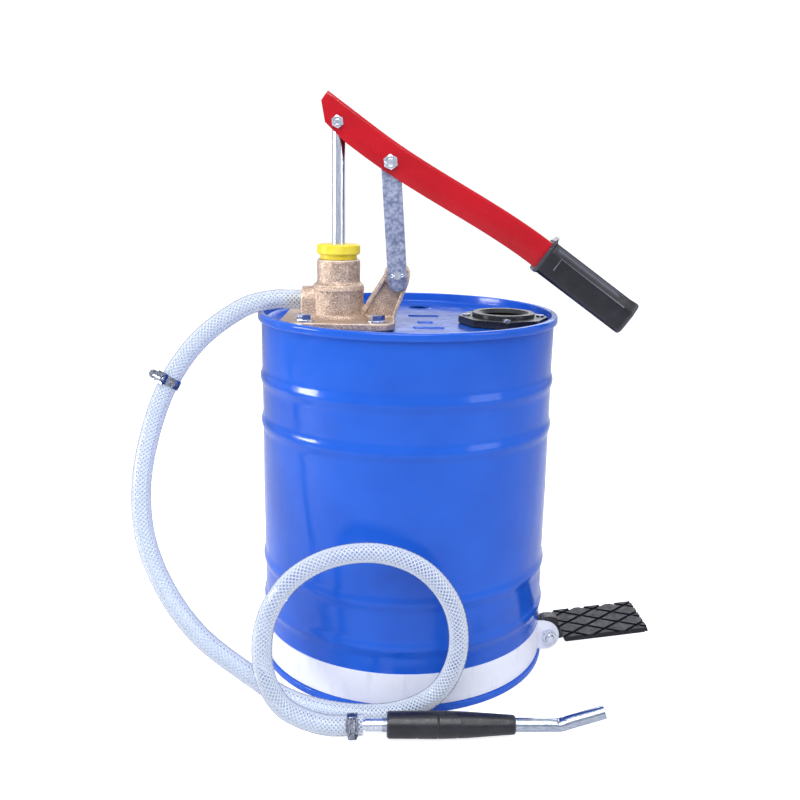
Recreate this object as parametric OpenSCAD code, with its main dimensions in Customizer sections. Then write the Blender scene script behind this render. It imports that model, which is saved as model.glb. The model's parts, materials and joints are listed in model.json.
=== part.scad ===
// Hand-lever oil pump on a steel drum.
// The drum stands on its bottom chime. The origin is the centre of the drum's
// foot on the floor, +Z is up and +X is the side that carries the foot pedal.
// The lever linkage lies in one vertical plane, y = pump_y. All sizes are mm.

/* [Drum] */
// Outside diameter of the drum wall
drum_d = 285; // [281:1:286]
// Height over both chimes
drum_h = 354; // [350:1:360]
// Thickness of the drum sheet
sheet = 1.2; // [0.8:0.1:1.5]
// How far a chime stands proud of the wall
chime_out = 3.4; // [2:0.1:4]
// Height of a chime
chime_h = 7.5; // [6:0.5:9]
// Depth of the lid and the bottom below the chime edge
recess = 10; // [9:0.5:11]
// How far a rolling hoop stands proud of the wall
hoop_out = 1.9; // [1:0.1:3.5]
// Height of one rolling hoop
hoop_h = 18; // [12:1:22]

/* [Filler opening] */
// Radius of the filler opening
port_r = 20.5; // [16:0.5:22]
// Width of the octagonal filler flange across its flats
port_flange_w = 80; // [78:1:82]
// Thickness of the filler flange
port_flange_t = 6.5; // [5:0.5:9]
// Radius of the vent hole in the lid
vent_r = 11; // [6:0.5:12]

/* [Pump head] */
// Radius of the lower barrel of the casting
barrel_r = 23.5; // [22.5:0.5:25]
// Radius of the upper barrel of the casting
neck_r = 20; // [19:0.5:22]
// Thickness of the casting's flange
head_flange_t = 6.5; // [6:0.5:7]
// Radius of the gland nut
gland_r = 20; // [18:0.5:22]

/* [Pump internals] */
// Bore radius of the pump tube
tube_bore_r = 17.5; // [17:0.1:18]
// Radius of the piston rod
rod_r = 6; // [5.8:0.1:6]
// Radial running clearance of turning and sliding fits
run_gap = 0.06; // [0.03:0.01:0.1]

/* [Lever] */
// Height of the lever channel
lever_h = 27; // [26:0.5:29]
// Outside width of the lever channel
lever_w = 24; // [24:0.5:26]
// Sheet thickness of the lever channel
lever_t = 2; // [1.5:0.1:2]
// Distance from the rod bolt to the far end of the grip
lever_reach = 321; // [310:1:330]
// Length of the rubber grip
grip_len = 101; // [90:1:110]

/* [Hose and nozzle] */
// Outside radius of the hose
hose_r = 9; // [8:0.5:9]
// Bore radius of the hose
hose_bore_r = 6; // [6:0.1:6.5]
// Radius of the nozzle tube
nozzle_r = 6; // [5:0.1:6]

/* [Base band and pedal] */
// Height of the band around the drum's foot
band_h = 31; // [26:1:34]
// Thickness of the band
band_t = 1.2; // [0.8:0.1:1.3]
// Length of the pedal pad
pad_len = 85; // [70:1:95]
// Width of the pedal pad
pad_w = 60; // [50:1:64]
// Angle of the pedal above the horizontal at rest
pedal_rest = 6.5; // [4:0.5:8]

/* [Hidden] */
$fn = 64;
drum_r = drum_d / 2;
wall_in = drum_r - sheet;
lid_z = drum_h - recess;
hoop_zs = [63, 107, 247, 291];
hoop_steps = 8;

port_at = [92.5, -15];
port_ring_r = 30;
port_ring_h = 4;
port_neck_r = 24;
port_gasket_t = 1;
port_screw_r = 2;
port_screw_ring = 35.6;
port_top = lid_z + port_gasket_t + port_flange_t;
vent_at = [12.5, 91];
bead_r = 1.6;

pump_x = -65;
pump_y = -40;
gasket_t = 1.5;
flange_z = lid_z + gasket_t;
flange_top = flange_z + head_flange_t;
neck_z = 384;
neck_top = 406;
spigot_z = 332;
washer_t = 1.6;
tube_r = 20;
tube_z = 40;
tube_top = 342;
head_bolts_at = [[-93, -72], [-28, -72], [-93, 9], [-28, 9]];
bolt_r = 4;
bolt_flats = 13;
rod_pin_r = 3;
rod_pin_flats = 10;
outlet_z = 367.5;
outlet_face = -99.4;
outlet_seat_r = 8;
outlet_seat_x = -86;

rod_pin_z = 527.5;
piston_z = 306;
piston_h = 22;
piston_r = 16.9;
seal_h = 6;
valve_lift = 3;
ball_r = 8;
seat_z = 26;

lever_pitch = 58.414;
pivot_flats = 12;
lever_rest = 35.594;
arm_eye = [-10.2, 392.3];
arm_eye_r = 12;
arm_w = 16;
arm_top = [-17.5, 493.5];
link_len = norm(arm_top - arm_eye);
link_lean = atan2(arm_top[0] - arm_eye[0], arm_top[1] - arm_eye[1]);
link_r = 8.8;
link_over = 6;
link_t = 3;
link_in_top = 6.5;
link_in_foot = arm_w / 2 + 0.5;
pin_tail = 5;
pin_tail_r = 2.6;
cotter_r = 0.7;
cotter_y = -link_in_foot - link_t - 2.8;
cheek_in = lever_w / 2 - lever_t;
lever_from = 15;
lever_end = lever_reach - 20;
lever_xs = [for (x = [27:12:219]) x];
grip_w = 29;
grip_h = 32;

pedal_bolt = [151.4, 23];
ear_y = [-31, -17.6];
ear_t = 1.6;
ear_gap = 0.2;
ear_r = band_h / 2;
ear_mid_x = 146.5;
band_z = 8;
pad_x = 161;
pad_y = -25.5;
pad_top_z = 34;
pad_t = 4.5;
pad_yaw = 4;
plate_t = 3;

hose_sides = 16;
hose_steps = 4;
// Centre line of the hose, from the outlet, down the left side, along the
// floor, once around in a loop and on to the nozzle.
hose_way = [
  [-99.6, -40, 367.5], [-113.5, -40, 367.5], [-126, -40.6, 367], [-154, -45, 359.5],
  [-193, -55, 331], [-220, -69, 292.5], [-235, -86, 248], [-240, -106, 202.5], [-233, -124, 158],
  [-212, -139, 115], [-182, -149, 78], [-142, -155, 47.5], [-99, -161, 22.5],
  [-51, -162, 11], [-3, -158.5, 11.3], [33, -160.5, 33], [49.5, -162, 73],
  [44, -161, 116], [18, -159, 149], [-21, -161, 164.5], [-64, -165, 160.5],
  [-99, -170, 139], [-118.5, -175.5, 103.5], [-119.5, -180.5, 62], [-103, -183, 29],
  [-69, -183.5, 12.8], [-33, -182.26, 12.3]
];
hose_line = smooth_way(hose_way, hose_steps);
// Where the two clamps sit: point on the hose line, and turn about it.
clamps = [[5 * hose_steps, 60], [len(hose_line) - 2, 140]];
clamp_w = 9;
nozzle_from = [-40, -182.5, 12.3];
nozzle_turn = 2;
nozzle_straight = 180;
nozzle_bend = 18;
nozzle_tip_len = 42;
nozzle_tube_x = 24;
grip_at = 28;
grip_long = 113;

// ---- shared shapes ----

// Cylinder of radius r from p along +X, +Y or +Z by h.
module rod_z(x, y, z0, z1, r) {
  translate([x, y, z0]) cylinder(h = z1 - z0, r = r);
}

module rod_y(x, z, y0, y1, r) {
  translate([x, y0, z]) rotate([-90, 0, 0]) cylinder(h = y1 - y0, r = r);
}

module rod_x(y, z, x0, x1, r) {
  translate([x0, y, z]) rotate([0, 90, 0]) cylinder(h = x1 - x0, r = r);
}

// Hexagonal prism along +Z, with its width across flats.
module hex(flats, h) {
  cylinder(h = h, r = flats / 2 / cos(30), $fn = 6);
}

// Hexagonal prism along +Y.
module hex_y(x, z, y0, y1, flats) {
  translate([x, y0, z]) rotate([-90, 0, 0]) hex(flats, y1 - y0);
}

// Flat ring lying in a horizontal plane.
module ring(h, r_out, r_in) {
  difference() {
    cylinder(h = h, r = r_out);
    translate([0, 0, -1]) cylinder(h = h + 2, r = r_in);
  }
}

// Rectangle from a to b with round corners, as exact arcs.
module round_rect(a, b, r) {
  translate([a[0] + r, a[1]]) square([b[0] - a[0] - 2 * r, b[1] - a[1]]);
  translate([a[0], a[1] + r]) square([b[0] - a[0], b[1] - a[1] - 2 * r]);
  for (x = [a[0] + r, b[0] - r], y = [a[1] + r, b[1] - r])
    translate([x, y]) circle(r = r);
}

// Straight bar of width w from a to b, in a plane.
module bar(a, b, w) {
  n = [a[1] - b[1], b[0] - a[0]] / norm(b - a) * w / 2;
  polygon([a - n, b - n, b + n, a + n]);
}

// Turns an outline drawn in X and Z into a plate from y0 to y1.
module plate_xz(y0, y1) {
  translate([0, y1, 0]) rotate([90, 0, 0]) linear_extrude(height = y1 - y0) children();
}

// ---- drum ----

// Proud height of the wall at height z inside one hoop, u runs from 0 to 1.
function hoop_rise(u) = hoop_out * pow(sin(180 * u), 2);

function wall_line(r) = concat(
  [[r, sheet * 2]],
  [for (c = hoop_zs, i = [0:hoop_steps])
    [r + hoop_rise(i / hoop_steps), c + (i / hoop_steps - 0.5) * hoop_h]],
  [[r, drum_h - sheet * 2]]
);

function reversed(list) = [for (i = [len(list) - 1:-1:0]) list[i]];

module drum_shell() {
  color("royalblue") rotate_extrude($fn = 96)
    polygon(concat(wall_line(drum_r), reversed(wall_line(wall_in))));
}

// Recessed end panel with its seamed chime, for the top end.
module end_panel() {
  top = drum_h;
  seat = drum_h - sheet * 2;
  leg_in = wall_in - sheet;
  rotate_extrude($fn = 96) polygon([
    [0, lid_z - sheet], [wall_in, lid_z - sheet], [wall_in, seat], [drum_r, seat],
    [drum_r, top - chime_h], [drum_r + chime_out - 0.6, top - chime_h],
    [drum_r + chime_out, top - chime_h + 1], [drum_r + chime_out, top - 1.6],
    [drum_r + chime_out - 1.6, top], [leg_in + 0.8, top], [leg_in, top - 0.8],
    [leg_in, lid_z], [0, lid_z]
  ]);
}

// Short raised bead pressed into the lid.
module lid_bead(x, y, len) {
  translate([x - len / 2, y, lid_z]) intersection() {
    rotate([0, 90, 0]) cylinder(h = len, r = bead_r, $fn = 24);
    translate([-1, -bead_r, -0.2]) cube([len + 2, 2 * bead_r, bead_r + 0.2]);
  }
}

module drum_lid() {
  color("royalblue") difference() {
    union() {
      end_panel();
      lid_bead(16, 28, 30);
      lid_bead(17, -16, 14);
      lid_bead(20, -50, 28);
    }
    rod_z(pump_x, pump_y, lid_z - 5, lid_z + 5, barrel_r + 0.5);
    rod_z(port_at[0], port_at[1], lid_z - 5, lid_z + 5, port_neck_r);
    rod_z(vent_at[0], vent_at[1], lid_z - 5, lid_z + 5, vent_r);
    for (p = head_bolts_at) rod_z(p[0], p[1], lid_z - 5, lid_z + 5, bolt_r);
    for (a = [0:90:270])
      translate([port_at[0], port_at[1], lid_z - 5]) rotate(a)
        translate([port_screw_ring, 0, 0]) cylinder(h = 10, r = port_screw_r, $fn = 24);
  }
}

module drum_bottom() {
  color("royalblue") translate([0, 0, drum_h]) mirror([0, 0, 1]) end_panel();
}

// ---- filler opening ----

module port_place(z) {
  translate([port_at[0], port_at[1], z]) children();
}

module port_screw_holes(h) {
  for (a = [0:90:270]) rotate(a)
    translate([port_screw_ring, 0, -1]) cylinder(h = h + 2, r = port_screw_r, $fn = 24);
}

module octagon(h, w) {
  cylinder(h = h, r = w / 2 / cos(22.5), $fn = 8);
}

module fill_port_gasket() {
  color("dimgray") port_place(lid_z) difference() {
    octagon(port_gasket_t, port_flange_w - 2);
    translate([0, 0, -1]) cylinder(h = port_gasket_t + 2, r = port_neck_r);
    port_screw_holes(port_gasket_t);
  }
}

module fill_port_flange() {
  color("black") port_place(lid_z + port_gasket_t) difference() {
    intersection() {
      octagon(port_flange_t, port_flange_w);
      cylinder(h = port_flange_t, r1 = port_flange_w / 2 + 8, r2 = port_flange_w / 2 + 2);
    }
    translate([0, 0, -1]) cylinder(h = port_flange_t + 2, r = port_neck_r);
    port_screw_holes(port_flange_t);
  }
}

// Threaded collar whose neck passes through the flange and the lid.
module fill_port_collar() {
  neck_low = 14;
  color("black") port_place(port_top) difference() {
    union() {
      cylinder(h = port_ring_h - 1, r = port_ring_r);
      cylinder(h = port_ring_h, r = port_ring_r - 1);
      translate([0, 0, -neck_low]) cylinder(h = neck_low + 1, r = port_neck_r);
    }
    translate([0, 0, -neck_low - 1]) cylinder(h = neck_low + port_ring_h + 2, r = port_r);
  }
}

module fill_port_screws() {
  head_r = 3.8;
  color("gray") port_place(port_top) for (a = [0:90:270]) rotate(a)
    translate([port_screw_ring, 0, 0]) difference() {
      union() {
        cylinder(h = 1.6, r = head_r, $fn = 32);
        translate([0, 0, -port_flange_t - 6])
          cylinder(h = port_flange_t + 6.5, r = port_screw_r, $fn = 24);
      }
      for (b = [0, 90]) rotate(b) translate([-2.4, -0.5, 0.9]) cube([4.8, 1, 1]);
    }
}

// ---- pump head ----

module head_flange_2d() {
  round_rect([-117, -85], [-12, 22], 15);
}

// Cast arm that carries the foot of the link: a web with raised edges and an eye.
module cast_arm() {
  foot_left = [-42, flange_top];
  knee_left = [-37.5, flange_top + 13];
  eye_left = [-20.5, arm_eye[1] - 1];
  foot_right = [-14.6, flange_top - 2];
  eye_right = [0, arm_eye[1] - 6];
  web_t = 6;
  plate_xz(pump_y - web_t / 2, pump_y + web_t / 2) difference() {
    union() {
      polygon([foot_left, foot_right, eye_right, arm_eye, eye_left, knee_left]);
      translate(arm_eye) circle(r = arm_eye_r);
    }
    translate(arm_eye) circle(r = bolt_r);
  }
  plate_xz(pump_y - arm_w / 2, pump_y + arm_w / 2) difference() {
    union() {
      bar(knee_left, eye_left, 4);
      bar(foot_left + [-3, 0], knee_left + [0, -1], 4);
      bar(foot_right, eye_right + [-1, 0], 4);
      translate(arm_eye) circle(r = arm_eye_r);
    }
    translate(arm_eye) circle(r = bolt_r);
  }
}

module pump_head() {
  chamber_z = 342;
  gland_seat_z = 391;
  boss_r = 13;
  color("peru") difference() {
    union() {
      translate([0, 0, flange_z]) linear_extrude(height = head_flange_t) head_flange_2d();
      translate([pump_x, pump_y, flange_top])
        cylinder(h = 3, r1 = barrel_r + 3.5, r2 = barrel_r);
      rod_z(pump_x, pump_y, spigot_z, neck_z - 1.5, barrel_r);
      translate([pump_x, pump_y, neck_z - 1.5])
        cylinder(h = 2.5, r1 = barrel_r, r2 = neck_r);
      rod_z(pump_x, pump_y, neck_z, neck_top, neck_r);
      rod_x(pump_y, outlet_z, outlet_face, pump_x, boss_r);
      translate([outlet_face, pump_y - boss_r, flange_z])
        cube([pump_x - outlet_face, 2 * boss_r, outlet_z - flange_z]);
      cast_arm();
    }
    rod_z(pump_x, pump_y, spigot_z - 1, tube_top, tube_r);
    rod_z(pump_x, pump_y, chamber_z - 1, neck_z, tube_bore_r);
    rod_z(pump_x, pump_y, neck_z - 1, gland_seat_z + 1, rod_r + 0.2);
    rod_z(pump_x, pump_y, gland_seat_z, neck_top + 1, 13);
    rod_x(pump_y, outlet_z, outlet_face - 1, pump_x, 5);
    rod_x(pump_y, outlet_z, outlet_face - 1, outlet_seat_x, outlet_seat_r);
    for (p = head_bolts_at) rod_z(p[0], p[1], flange_z - 1, flange_top + 1, bolt_r);
  }
}

module head_gasket() {
  color("dimgray") translate([0, 0, lid_z]) difference() {
    linear_extrude(height = gasket_t) round_rect([-116, -84], [-13, 21], 14);
    translate([pump_x, pump_y, -1]) cylinder(h = gasket_t + 2, r = barrel_r);
    for (p = head_bolts_at) translate([p[0], p[1], -1]) cylinder(h = gasket_t + 2, r = bolt_r);
  }
}

module head_washers() {
  color("silver") for (p = head_bolts_at) translate([p[0], p[1], flange_top])
    ring(washer_t, 9.5, bolt_r);
}

module head_bolts() {
  head_z = flange_top + washer_t;
  color("lightsteelblue") for (p = head_bolts_at) translate([p[0], p[1], 0]) {
    translate([0, 0, head_z]) hex(bolt_flats, 5.3);
    translate([0, 0, lid_z - 12]) cylinder(h = head_z - lid_z + 12.5, r = bolt_r);
  }
}

module head_nuts() {
  color("silver") for (p = head_bolts_at) translate([p[0], p[1], lid_z - sheet - 6.5])
    difference() {
      hex(bolt_flats, 6.5);
      translate([0, 0, -1]) cylinder(h = 9, r = bolt_r);
    }
}

module gland_packing() {
  count = 2;
  pitch = 3.2;
  color("tan") for (i = [0:count - 1]) translate([pump_x, pump_y, 391.2 + i * pitch])
    ring(3, 12.9, rod_r + run_gap);
}

// Adjusting nut that squeezes the packing around the rod.
module gland_nut() {
  rim_h = 9;
  color("gold") translate([pump_x, pump_y, 0]) difference() {
    union() {
      translate([0, 0, 398]) cylinder(h = 9, r = 12.9);
      translate([0, 0, neck_top + 0.2]) cylinder(h = 4.8, r = gland_r - 3);
      translate([0, 0, 410.5]) cylinder(h = 1, r1 = gland_r - 1, r2 = gland_r);
      translate([0, 0, 411.4]) cylinder(h = rim_h - 2, r = gland_r);
      translate([0, 0, 409.4 + rim_h]) cylinder(h = 1, r1 = gland_r, r2 = gland_r - 1);
    }
    translate([0, 0, 390]) cylinder(h = 40, r = rod_r + run_gap);
  }
}

module outlet_barb() {
  tail = 14;
  color("goldenrod") difference() {
    union() {
      rod_x(pump_y, outlet_z, outlet_face, outlet_seat_x, outlet_seat_r);
      rod_x(pump_y, outlet_z, outlet_face - tail, outlet_face, 4.8);
      for (i = [0:1]) translate([outlet_face - 6 - i * 5, pump_y, outlet_z])
        rotate([0, 90, 0]) cylinder(h = 4, r1 = 4.6, r2 = 5.6);
    }
    rod_x(pump_y, outlet_z, outlet_face - tail - 1, outlet_seat_x + 1, 3.8);
  }
}

// ---- pump internals ----

module piston_rod() {
  color("gainsboro") difference() {
    union() {
      rod_z(pump_x, pump_y, piston_z + piston_h, rod_pin_z + 8, rod_r);
      rod_z(pump_x, pump_y, piston_z - 12, piston_z + piston_h + 1, 5);
    }
    rod_y(pump_x, rod_pin_z, pump_y - 10, pump_y + 10, rod_pin_r + run_gap);
  }
}

// Piston with two seal grooves and six flow passages.
module piston_body() {
  color("darkgoldenrod") translate([pump_x, pump_y, piston_z]) difference() {
    cylinder(h = piston_h, r = piston_r);
    translate([0, 0, -1]) cylinder(h = piston_h + 2, r = 5);
    for (z = [3, 13]) translate([0, 0, z]) ring(seal_h, piston_r + 1, 14.5);
    for (a = [0:60:300]) rotate(a)
      translate([9.5, 0, -1]) cylinder(h = piston_h + 2, r = 2.4, $fn = 24);
  }
}

module piston_seals() {
  color("dimgray") for (z = [3, 13]) translate([pump_x, pump_y, piston_z + z])
    ring(seal_h, tube_bore_r - run_gap, 14.5);
}

module piston_nut() {
  color("silver") translate([pump_x, pump_y, piston_z - 8]) difference() {
    hex(17, 8);
    translate([0, 0, -1]) cylinder(h = 10, r = 5);
  }
}

// Ring on the rod that stops the valve disc's lift.
module piston_stop_ring() {
  color("silver") translate([pump_x, pump_y, piston_z + piston_h + 2.1 + valve_lift])
    ring(2, rod_r + 3, rod_r);
}

module piston_valve() {
  color("darkslategray") translate([pump_x, pump_y, piston_z + piston_h + 0.05])
    ring(2, 13.5, rod_r + run_gap);
}

module pump_tube() {
  color("silver") translate([pump_x, pump_y, tube_z]) ring(tube_top - tube_z, tube_r, tube_bore_r);
}

// Screwed cap on the tube's lower end with the inlet seat in its floor.
module foot_valve_body() {
  ball_z = seat_z + 10;
  color("darkgoldenrod") translate([pump_x, pump_y, 0]) difference() {
    translate([0, 0, seat_z]) cylinder(h = 26, r = tube_r + 4);
    translate([0, 0, tube_z]) cylinder(h = 20, r = tube_r);
    translate([0, 0, seat_z + 5]) cylinder(h = 20, r = 12);
    translate([0, 0, ball_z]) sphere(r = ball_r + 0.02);
    translate([0, 0, seat_z - 1]) cylinder(h = 20, r = 6);
  }
}

module foot_valve_ball() {
  color("silver") translate([pump_x, pump_y, seat_z + 10]) sphere(r = ball_r);
}

// Cross pin above the ball that limits its lift.
module foot_valve_stop() {
  lift = 4;
  stop_z = seat_z + 10 + ball_r + lift + 2;
  color("silver") rod_x(pump_y, stop_z, pump_x - 17, pump_x + 17, 1.5);
}

// Perforated cup below the foot valve.
module inlet_strainer() {
  cup_z = 13;
  cup_r = 17;
  wall = 1.2;
  color("gray") translate([pump_x, pump_y, cup_z]) difference() {
    cylinder(h = seat_z - cup_z, r = cup_r);
    translate([0, 0, wall]) cylinder(h = seat_z, r = cup_r - wall);
    for (a = [0:30:150]) rotate(a)
      translate([-cup_r - 1, -1, 4]) cube([2 * cup_r + 2, 2, 6]);
    for (x = [-8, 0, 8], y = [-8, 0, 8])
      translate([x, y, -1]) cylinder(h = 4, r = 1.5, $fn = 24);
  }
}

// ---- lever ----

// Places a shape drawn along +X from the rod bolt onto the lever's line.
module on_lever() {
  translate([pump_x, pump_y, rod_pin_z]) rotate([0, lever_rest, 0]) children();
}

// Height of the lever's middle line at distance x from the rod bolt.
function ease(u) = let (v = min(1, max(0, u))) v * v * (3 - 2 * v);
function lever_mid(x) = 3.2 + 13.4 * ease((x - 32) / 185);

function lever_top(x) = [x, lever_mid(x) + lever_h / 2];
function lever_low(x) = [x, lever_mid(x) - lever_h / 2];

// Side outline of the channel, with the cropped nose at the rod end.
module lever_side() {
  nose_top = lever_top(lever_from)[1];
  polygon(concat(
    [[-22.4, 6.2], [-9, -6.9], lever_low(lever_from)],
    [for (x = lever_xs) lever_low(x)],
    [lever_low(lever_end), lever_top(lever_end)],
    [for (i = [len(lever_xs) - 1:-1:0]) lever_top(lever_xs[i])],
    [[lever_from, nose_top], [-21.5, nose_top]]
  ));
}

module lever_arm() {
  color("crimson") on_lever() difference() {
    plate_xz(-lever_w / 2, lever_w / 2) lever_side();
    translate([0, 0, -lever_t]) plate_xz(-cheek_in, cheek_in) {
      lever_side();
      translate([0, -25]) lever_side();
      translate([-8, -6]) lever_side();
    }
    translate([-24, -cheek_in, -30]) cube([lever_reach, 2 * cheek_in, 32]);
    rod_y(0, 0, -20, 20, rod_pin_r);
    rod_y(lever_pitch, 0, -20, 20, bolt_r);
  }
}

// Rubber grip that sleeves the channel's tail, with a collar and side panels.
module lever_grip() {
  x0 = lever_reach - grip_len;
  mid = lever_mid(x0);
  panel = 0.8;
  color("dimgray") on_lever() difference() {
    union() {
      translate([x0, 0, mid]) rotate([0, 90, 0]) linear_extrude(height = grip_len)
        round_rect([-grip_h / 2, -grip_w / 2], [grip_h / 2, grip_w / 2], 5);
      translate([x0, 0, mid]) rotate([0, 90, 0]) linear_extrude(height = 5)
        round_rect([-grip_h / 2 - 5, -grip_w / 2], [grip_h / 2, grip_w / 2], 5);
      translate([x0 + 15, -grip_w / 2 - panel, mid - 8])
        cube([grip_len - 28, grip_w + 2 * panel, 16]);
    }
    translate([x0 - 1, -lever_w / 2, mid - lever_h / 2])
      cube([lever_end - x0 + 1, lever_w, lever_h]);
  }
}

// Hex head on the far cheek of the lever.
module cross_head(x, r, flats) {
  head_h = 1.3 * r;
  y = lever_w / 2;
  hex_y(x, 0, y, y + head_h, flats);
}

// Locking nut on the near cheek of the lever: a hexagon with a round collar.
module cross_nut(x, r, flats) {
  nut_h = 1.6 * r;
  hex_h = 0.7 * nut_h;
  y = -lever_w / 2;
  difference() {
    union() {
      hex_y(x, 0, y - hex_h, y, flats);
      rod_y(x, 0, y - nut_h, y - hex_h + 0.5, 0.43 * flats);
    }
    rod_y(x, 0, y - nut_h - 1, y + 1, r);
  }
}

// Where a bolt's threaded end sits, just inside its nut's collar.
function thread_end(r) = -lever_w / 2 - 1.6 * r + 1;

module rod_bolt() {
  color("silver") on_lever() {
    cross_head(0, rod_pin_r, rod_pin_flats);
    rod_y(0, 0, thread_end(rod_pin_r), lever_w / 2 + 0.5, rod_pin_r);
  }
}

module rod_bolt_nut() {
  color("silver") on_lever() cross_nut(0, rod_pin_r, rod_pin_flats);
}

module rod_spacers() {
  width = cheek_in - rod_r - 0.3;
  color("silver") on_lever() for (y = [-cheek_in + 0.1, rod_r + 0.2])
    translate([0, y, 0]) rotate([-90, 0, 0]) ring(width, 6, rod_pin_r);
}

// The lever pivot's bolt: head end in the far cheek, threaded end in the near one.
module pivot_bolt() {
  color("silver") on_lever() {
    cross_head(lever_pitch, bolt_r, pivot_flats);
    rod_y(lever_pitch, 0, cheek_in, lever_w / 2 + 0.5, bolt_r);
    rod_y(lever_pitch, 0, thread_end(bolt_r), -cheek_in, bolt_r);
  }
}

module pivot_nut() {
  color("silver") on_lever() cross_nut(lever_pitch, bolt_r, pivot_flats);
}

// ---- link ----

// Places a shape drawn along +Z from the arm's eye onto the link's line.
module on_link() {
  translate([arm_eye[0], pump_y, arm_eye[1]]) rotate([0, link_lean, 0]) children();
}

// Flat link bar with a joggle; side is -1 for the near bar and 1 for the far bar.
module link_bar(side) {
  joggle = [66, 75];
  y_top = side * link_in_top;
  y_foot = side * link_in_foot;
  t = side * link_t;
  foot_z = -link_over - link_r;
  difference() {
    intersection() {
      rotate([90, 0, 90]) translate([0, 0, -link_r]) linear_extrude(height = 2 * link_r)
        polygon([
          [y_foot, foot_z], [y_foot, joggle[0]], [y_top, joggle[1]], [y_top, link_len + link_r],
          [y_top + t, link_len + link_r], [y_top + t, joggle[1]],
          [y_foot + t, joggle[0]], [y_foot + t, foot_z]
        ]);
      plate_xz(-20, 20) {
        translate([-link_r, -link_over]) square([2 * link_r, link_len + link_over]);
        translate([0, -link_over]) circle(r = link_r);
        translate([0, link_len]) circle(r = link_r);
      }
    }
    rod_y(0, 0, -20, 20, bolt_r + run_gap);
    rod_y(0, link_len, -20, 20, bolt_r);
  }
}

module link_front() {
  color("slategray") on_link() link_bar(-1);
}

module link_rear() {
  color("slategray") on_link() link_bar(1);
}

module link_top_pin() {
  half = link_in_top + link_t;
  color("silver") on_link() rod_y(0, link_len, -half, half, bolt_r);
}

module link_spacer() {
  color("silver") on_link() difference() {
    rod_y(0, link_len, -link_in_top, link_in_top, 7);
    rod_y(0, link_len, -link_in_top - 1, link_in_top + 1, bolt_r);
  }
}

// Clevis pin through the arm's eye, with a slimmer tail drilled for its cotter.
module eye_pin() {
  side = link_in_foot + link_t;
  color("silver") on_link() difference() {
    union() {
      rod_y(0, 0, side + 0.3, side + 2.8, 6);
      rod_y(0, 0, -side - 0.3, side + 0.5, bolt_r);
      rod_y(0, 0, -side - pin_tail, -side, pin_tail_r);
    }
    rod_x(cotter_y, 0, -6, 6, cotter_r + 0.1);
  }
}

// Split cotter across the pin's tail, with a loop at each side.
module eye_cotter() {
  loop_r = 1.3;
  wire_r = 0.6;
  loop_x = pin_tail_r + loop_r + wire_r + 0.1;
  color("silver") on_link() {
    rod_x(cotter_y, 0, -loop_x + loop_r, loop_x - loop_r, cotter_r);
    for (x = [-loop_x, loop_x]) translate([x, cotter_y, 0]) rotate([90, 0, 0])
      rotate_extrude($fn = 32) translate([loop_r, 0]) circle(r = wire_r, $fn = 16);
  }
}

// ---- hose ----

// Point on the curve through b and c, where a and d are the points around them.
function between(a, b, c, d, t) = 0.5 * (2 * b + (c - a) * t
  + (2 * a - 5 * b + 4 * c - d) * t * t + (3 * b - a - 3 * c + d) * t * t * t);

// The way with one more point past each end, so that the ends run straight.
function extended(way) = let (n = len(way)) concat(
  [2 * way[0] - way[1]], way, [2 * way[n - 1] - way[n - 2]]);

function smooth_way(way, steps) = let (w = extended(way)) concat(
  [for (i = [1:len(w) - 3], j = [0:steps - 1])
    between(w[i - 1], w[i], w[i + 1], w[i + 2], j / steps)],
  [way[len(way) - 1]]);

function unit(v) = v / norm(v);

function heading(line, i) = let (n = len(line))
  unit(line[min(n - 1, i + 1)] - line[max(0, i - 1)]);

// Points of a circle of radius r square to the line at point i. The level
// direction that every ring starts from is never along the hose.
function circle_at(line, i, r) = let (
  f = heading(line, i),
  u = unit(cross(f, [0.35, 1, 0.2])),
  v = cross(f, u)
) [for (k = [0:hose_sides - 1]) let (a = 360 * k / hose_sides)
  line[i] + r * (cos(a) * u + sin(a) * v)];

// Hollow sweep: outer rings, then inner rings, joined at both ends.
module swept_hose(line, r_out, r_in) {
  n = len(line);
  s = hose_sides;
  points = [for (r = [r_out, r_in], i = [0:n - 1]) each circle_at(line, i, r)];
  outside = [for (i = [0:n - 2], k = [0:s - 1]) let (m = (k + 1) % s)
    [i * s + k, (i + 1) * s + k, (i + 1) * s + m, i * s + m]];
  inside = [for (q = outside) [for (p = [3:-1:0]) q[p] + n * s]];
  ends = [for (e = [0, n - 1], k = [0:s - 1]) let (
    m = (k + 1) % s, a = e * s,
    q = [a + k, a + m, n * s + a + m, n * s + a + k]
  ) e == 0 ? q : reversed(q)];
  polyhedron(points = points, faces = concat(outside, inside, ends), convexity = 6);
}

module hose() {
  color("whitesmoke") swept_hose(hose_line, hose_r, hose_bore_r);
}

// Places a shape drawn along +Z onto the hose, turned by spin about its line.
module on_hose(i, spin = 0) {
  f = heading(hose_line, i);
  translate(hose_line[i])
    rotate([0, acos(f[2]), atan2(f[1], f[0])]) rotate(spin) children();
}

module on_clamps() {
  for (c = clamps) on_hose(c[0], c[1]) children();
}

module hose_clamp_band() {
  color("silver") on_clamps() translate([0, 0, -clamp_w / 2])
    ring(clamp_w, hose_r + 1.2, hose_r + 0.3);
}

// Pressed housing that holds the clamp's worm screw across the band.
module hose_clamp_housing() {
  y0 = hose_r + 1.2;
  color("silver") on_clamps() difference() {
    translate([-5.5, y0 - 1.5, -clamp_w / 2 - 1]) cube([11, 8, clamp_w + 2]);
    translate([-10, y0 + 3.4, 0]) rotate([0, 90, 0]) cylinder(h = 20, r = 2.9);
    cylinder(h = 30, r = y0, center = true);
  }
}

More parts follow.
